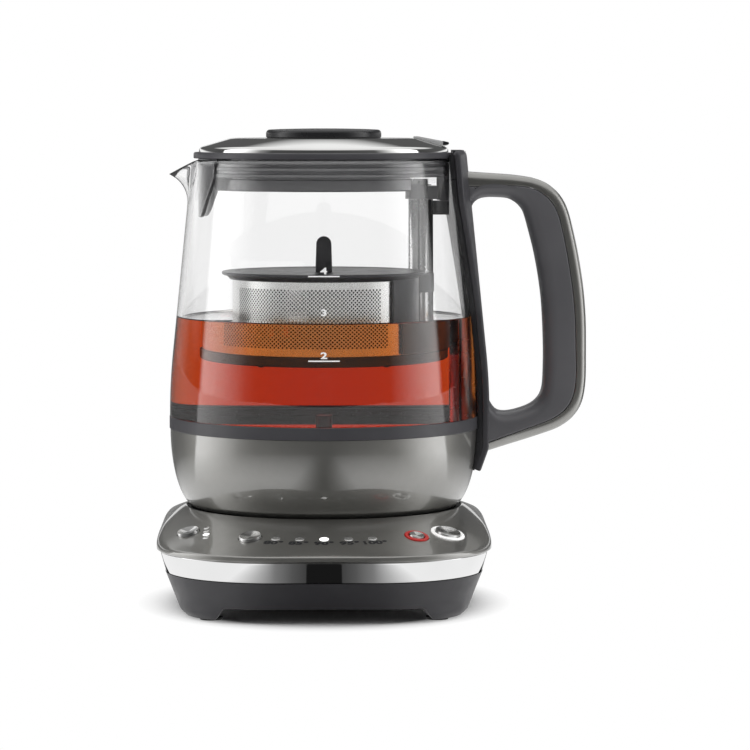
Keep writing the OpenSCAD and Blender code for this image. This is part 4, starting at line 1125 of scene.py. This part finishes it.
def make_drum():
    """The drum's sheet: a grid with every second cell of its two fields opened to a round hole, then rolled."""
    columns, rows, hole_r = 294, 32, 0.5
    low, high, middle_z = 117.3, 156.6, 138.15
    cell = tau * DRUM_R / columns
    field_low = middle_z - (rows - 2) / 2 * cell

    def cell_at(x, y):
        return floor(x / cell), floor((y - field_low) / cell)

    def opened(face):
        i, j = cell_at(*(face.center / MM)[:2])
        angle = (i + 0.5) / columns * 360
        field = 205 < angle < 307 or 100 < angle < 172
        return field and 0 <= j < rows - 2 and (i + j) % 2 == 1

    drum = grid("steel_drum", columns, rows)
    for v in drum.data.vertices:
        j = round((v.co.y + 1) / 2 * rows)
        y = low if j == 0 else high if j == rows else field_low + (j - 1) * cell
        v.co = Vector(((v.co.x + 1) / 2 * columns * cell, y, 0)) * MM
    picked(drum, opened)
    bpy.ops.mesh.inset(use_individual=True, thickness=0.12 * MM)
    bpy.ops.mesh.subdivide(number_cuts=1)
    bpy.ops.object.mode_set(mode="OBJECT")
    for k in {k for face in drum.data.polygons if face.select for k in face.vertices}:
        v = drum.data.vertices[k]
        i, j = cell_at(v.co.x / MM, v.co.y / MM)
        middle = Vector(((i + 0.5) * cell, field_low + (j + 0.5) * cell))
        arm = v.co.xy / MM - middle
        if arm.length > 0.1:
            v.co = (middle + arm.normalized() * hole_r).to_3d() * MM
    bpy.ops.object.mode_set(mode="EDIT")
    bpy.ops.mesh.delete(type="FACE")
    put_down()
    for v in drum.data.vertices:
        v.co = Vector(polar(DRUM_R, v.co.x / MM / DRUM_R, v.co.y / MM)) * MM
    sewn(drum)
    thickened(drum, 0.8, even=False)
    fitted(drum, "basket", drum_steel, "brushed_steel", "basket_drum", sharp=40)


def post_bore():
    return rod(5.5, 100, 200, (POST_X, POST_Y))


def make_basket_rim():
    profile = [
        (41.2, 156.65), (44.75, 156.65), (44.75, 155.9), (45.9, 155.9), (46.2, 156.5), (47.2, 157.4), (48.9, 157.95),
        (49.7, 158.4), (49.7, 159.4), (49.4, BASKET_TOP), (43.5, BASKET_TOP), (43.3, BASKET_TOP - 0.2),
        (43.3, 157.9), (41.2, 157.9),
    ]
    rim = cut(turned("basket_rim", profile), post_bore())
    fitted(rim, "basket", dark_plastic, "dark_plastic", "basket_collar")


def make_basket_spine():
    low, high, half = 120.4, 156.4, 69

    def place(u, v):
        return polar(46.25, radians(POST_ANGLE - half + 2 * half * u), low + (high - low) * v)

    spine = thickened(laid("basket_spine", 72, 4, place), 1.5, even=False)
    rounded_edges(spine, 0.25, 2, 60)
    cut(spine, post_bore())
    fitted(spine, "basket", dark_plastic, "dark_plastic")


def make_basket_clip():
    """The sleeve round the post, clear of the drum's sheet and open on its outer side."""
    profile = [(0, 148.25), (7.6, 148.25), (7.9, 148.6), (7.9, 157.4), (7.6, 157.8), (0, 157.8)]
    clip = cut(turned("basket_clip", profile, (POST_X, POST_Y), 96), post_bore())
    slot = slab("cutter", [(0, -3.6, 140), (30, -3.6, 140), (30, 3.6, 140), (0, 3.6, 140)], (0, 0, 30))
    moved(slot, Matrix.Translation((POST_X, POST_Y, 0)) @ Matrix.Rotation(radians(POST_ANGLE), 4, "Z"))
    cut(clip, rod(44.8, 140, 170, steps=192), slot)
    rounded_edges(clip, 0.2, 2, 60)
    fitted(clip, "basket", dark_plastic, "dark_plastic")


def make_basket_foot():
    """The bottom ring with its four nubs."""
    profile = [
        (0, 115.25), (44.9, 115.25), (45.5, 115.8), (45.6, 119.8), (45.2, 120.15), (44.7, 120.15), (44.7, 117.25),
        (0, 117.25),
    ]
    nub = [(0, 114.52), (1, 114.55), (1.35, 114.9), (1.4, 115.6), (0, 115.6)]
    pieces = [turned("basket_foot_ring", profile, steps=200)]
    pieces += [turned("nub", nub, polar(41.5, radians(a)), 24) for a in (-129, -51, 51, 129)]
    fitted(joined("basket_foot", pieces), "basket", dark_plastic, "dark_plastic", "basket_base")


def make_basket_lid():
    low, top = 158.2, 158.95
    disc = [(0, low), (42.8, low), (43, 158.4), (43, 159.2), (42.6, 159.5), (36, 159.1), (12, top), (0, top)]
    fitted(turned("basket_cap", disc, steps=160), "basket_lid", dark_plastic, "dark_plastic", "basket_lid")
    outline = [(-4.1, 158.9), (4.1, 158.9)] + arc((0, 172.7), 3.7, 0, 180, 14)
    tab = rounded_edges(plank("basket_handle", outline, -2.6), 0.5, 3, 60)
    fitted(tab, "basket_lid", dark_plastic, "black_plastic", "basket_tab")


make_drum()
make_basket_rim()
make_basket_spine()
make_basket_clip()
make_basket_foot()
make_basket_lid()


# ---- studio ----


def make_studio():
    """Floor: painted under the object, so that it keeps the shadow, and glowing white paper further out. In mirrors
    the floor glows with a painted reflection instead: dark down the middle, painted shadow near the base and painted
    strip lights further out.
    """
    deselect()
    bpy.ops.mesh.primitive_plane_add(size=9, location=(0, 0, -0.0002))
    ground = named("studio_floor")
    paint = Finish("studio floor", (0.93, 0.93, 0.93), 0.7, Specular_IOR_Level=0.2)
    x, y, flat = paint.plan()
    far = paint.length(flat)
    middle, half = (0, BASE_MIDDLE * MM, 0), (BASE_W / 2 * MM, BASE_HALF * MM, 1)
    inputs = {"Vector": flat, "Location": middle, "Scale": half}
    beyond = paint.length(paint.node("Mapping", inputs, vector_type="TEXTURE").outputs[0])
    seen = paint.math("MAXIMUM", paint.ray("Camera"), paint.ray("Transmission"))
    white = paint.math("MULTIPLY", seen, paint.between(beyond, 0.9, 1.14))
    factor = paint.math("MAXIMUM", white, paint.ray("Glossy"))
    # painted reflection for mirrors: dark down the middle of the front, with painted shadow near and under the base
    turn = paint.math("ARCTAN2", x, paint.math("MULTIPLY", y, -1))
    across = paint.between(paint.math("ABSOLUTE", x), 0, 0.1)
    stops = [(0, 0.01), (0.082, 0.01), (0.086, 0.06), (0.15, 0.1), (0.24, 0.22), (0.39, 0.5), (0.62, 1)]
    under = paint.math("MULTIPLY", paint.steps(across, stops), paint.between(beyond, 0.7, 1.1, 0.08, 1))
    # painted strip lights on the floor, seen only in mirrors
    outer = side_strips(paint, turn)
    painted_reflection = paint.mixed(paint.between(far, 0.2, 0.45), under, outer)
    mirrored = paint.math("SUBTRACT", paint.ray("Glossy"), paint.ray("Transmission"))
    strength = paint.mixed(paint.math("MAXIMUM", mirrored, 0), 1, painted_reflection)
    paper = paint.node("Emission", {"Color": (1, 1, 1, 1), "Strength": strength}).outputs[0]
    mix = paint.node("MixShader", {0: factor, 1: paint.shader.outputs[0], 2: paper})
    paint.links.new(mix.outputs[0], paint.nodes["Material Output"].inputs["Surface"])
    ground.data.materials.append(paint.material)


# Angle from the front and brightness of what stands round the room
STRIPS = [
    (-180, 0.3), (-150, 0.1), (-107, 0.07), (-105, 2.4), (-92, 2), (-62, 0.3), (-50, 0.08),
    (-8, 0.07), (8, 0.07), (50, 0.1), (60, 0.5), (88, 2.2), (97, 2.3), (99, 0.07), (150, 0.1), (180, 0.3),
]


def side_strips(tree, turn):
    """Tall strip lights at the sides of a dark room, by the angle from the front; a pale wall at the back."""
    share = tree.between(turn, -pi, pi)
    return tree.math("MULTIPLY", tree.steps(share, [((a + 180) / 360, v / 3) for a, v in STRIPS]), 3)


def make_world():
    """Soft light for plain surfaces; strip lights and a pale wall for what mirrors them; white behind."""
    world = bpy.data.worlds.new("studio")
    bpy.context.scene.world = world
    sky = Tree(world)
    way = sky.node("TexCoord").outputs["Generated"]
    x, y, z = sky.node("SeparateXYZ", {0: way}).outputs
    turn = sky.math("ARCTAN2", x, sky.math("MULTIPLY", y, -1))
    aside = sky.math("DIVIDE", sky.math("ABSOLUTE", turn), pi)
    level = sky.steps(aside, [(0, 0.2), (0.12, 0.26), (0.3, 0.62), (0.5, 0.95), (1, 0.8)])
    level = sky.math("MULTIPLY", sky.mixed(sky.between(z, 0.5, 0.9), level, 0.7), 1.45)
    soft = sky.math("MULTIPLY", sky.between(z, 0, 1, 0.55, 1.3), level)
    stops = [(0, 0.2), (0.03, 0.2), (0.045, 1), (0.09, 1), (0.13, 0.1), (0.45, 0.1), (0.57, 1), (1, 1)]
    band = sky.steps(sky.between(z, 0, 1), stops)
    front = sky.mixed(sky.between(z, 0.5, 0.75), side_strips(sky, turn), 0.9)
    mirrored = sky.mixed(sky.steps(aside, [(0, 0), (0.6, 0), (0.75, 1), (1, 1)]), front, band)
    backdrop = sky.steps(aside, [(0, 0.25), (0.5, 0.1), (0.72, 0.1), (0.81, 1), (1, 1)])
    behind = sky.math("MAXIMUM", side_strips(sky, turn), backdrop)
    through = sky.mixed(sky.between(z, 0.3, 0.7), behind, 1)
    value = sky.mixed(sky.ray("Glossy"), soft, mirrored)
    value = sky.mixed(sky.ray("Transmission"), value, through)
    value = sky.mixed(sky.ray("Camera"), value, 1)
    sky.links.new(value, sky.nodes["Background"].inputs["Strength"])
    sky.nodes["Background"].inputs["Color"].default_value = (1, 1, 1, 1)


def softbox(name, place, aim, size, watts):
    deselect()
    bpy.ops.object.light_add(type="AREA", location=place)
    lamp = bpy.context.object
    lamp.name = name
    lamp.rotation_euler = (Vector(aim) - Vector(place)).to_track_quat("-Z", "Y").to_euler()
    lamp.data.shape, lamp.data.energy = "RECTANGLE", watts
    lamp.data.size, lamp.data.size_y = size
    lamp.visible_glossy = lamp.visible_transmission = False


make_studio()
make_world()
softbox("left_box", (-1.35, -0.45, 0.75), (0, 0, 0.12), (0.6, 1.3), 3)
softbox("right_box", (1.35, -0.6, 0.75), (0, 0, 0.12), (0.6, 1.3), 2.5)
softbox("top_box", (0, 0.1, 1.5), (0, 0, 0.1), (1.2, 1.2), 3)

deselect()
bpy.ops.object.camera_add(location=(0, -1.7, 0.2353))
camera = bpy.context.object
camera.data.lens, camera.data.sensor_width = 167.6, 36
aside, down = radians(0.84), radians(4.26)
aim = Vector((tan(aside), 1, -tan(down)))
camera.rotation_euler = aim.to_track_quat("-Z", "Y").to_euler()
camera.data.clip_start, camera.data.clip_end = 0.05, 60
bpy.context.scene.camera = camera
bpy.context.scene.view_settings.view_transform = "Standard"
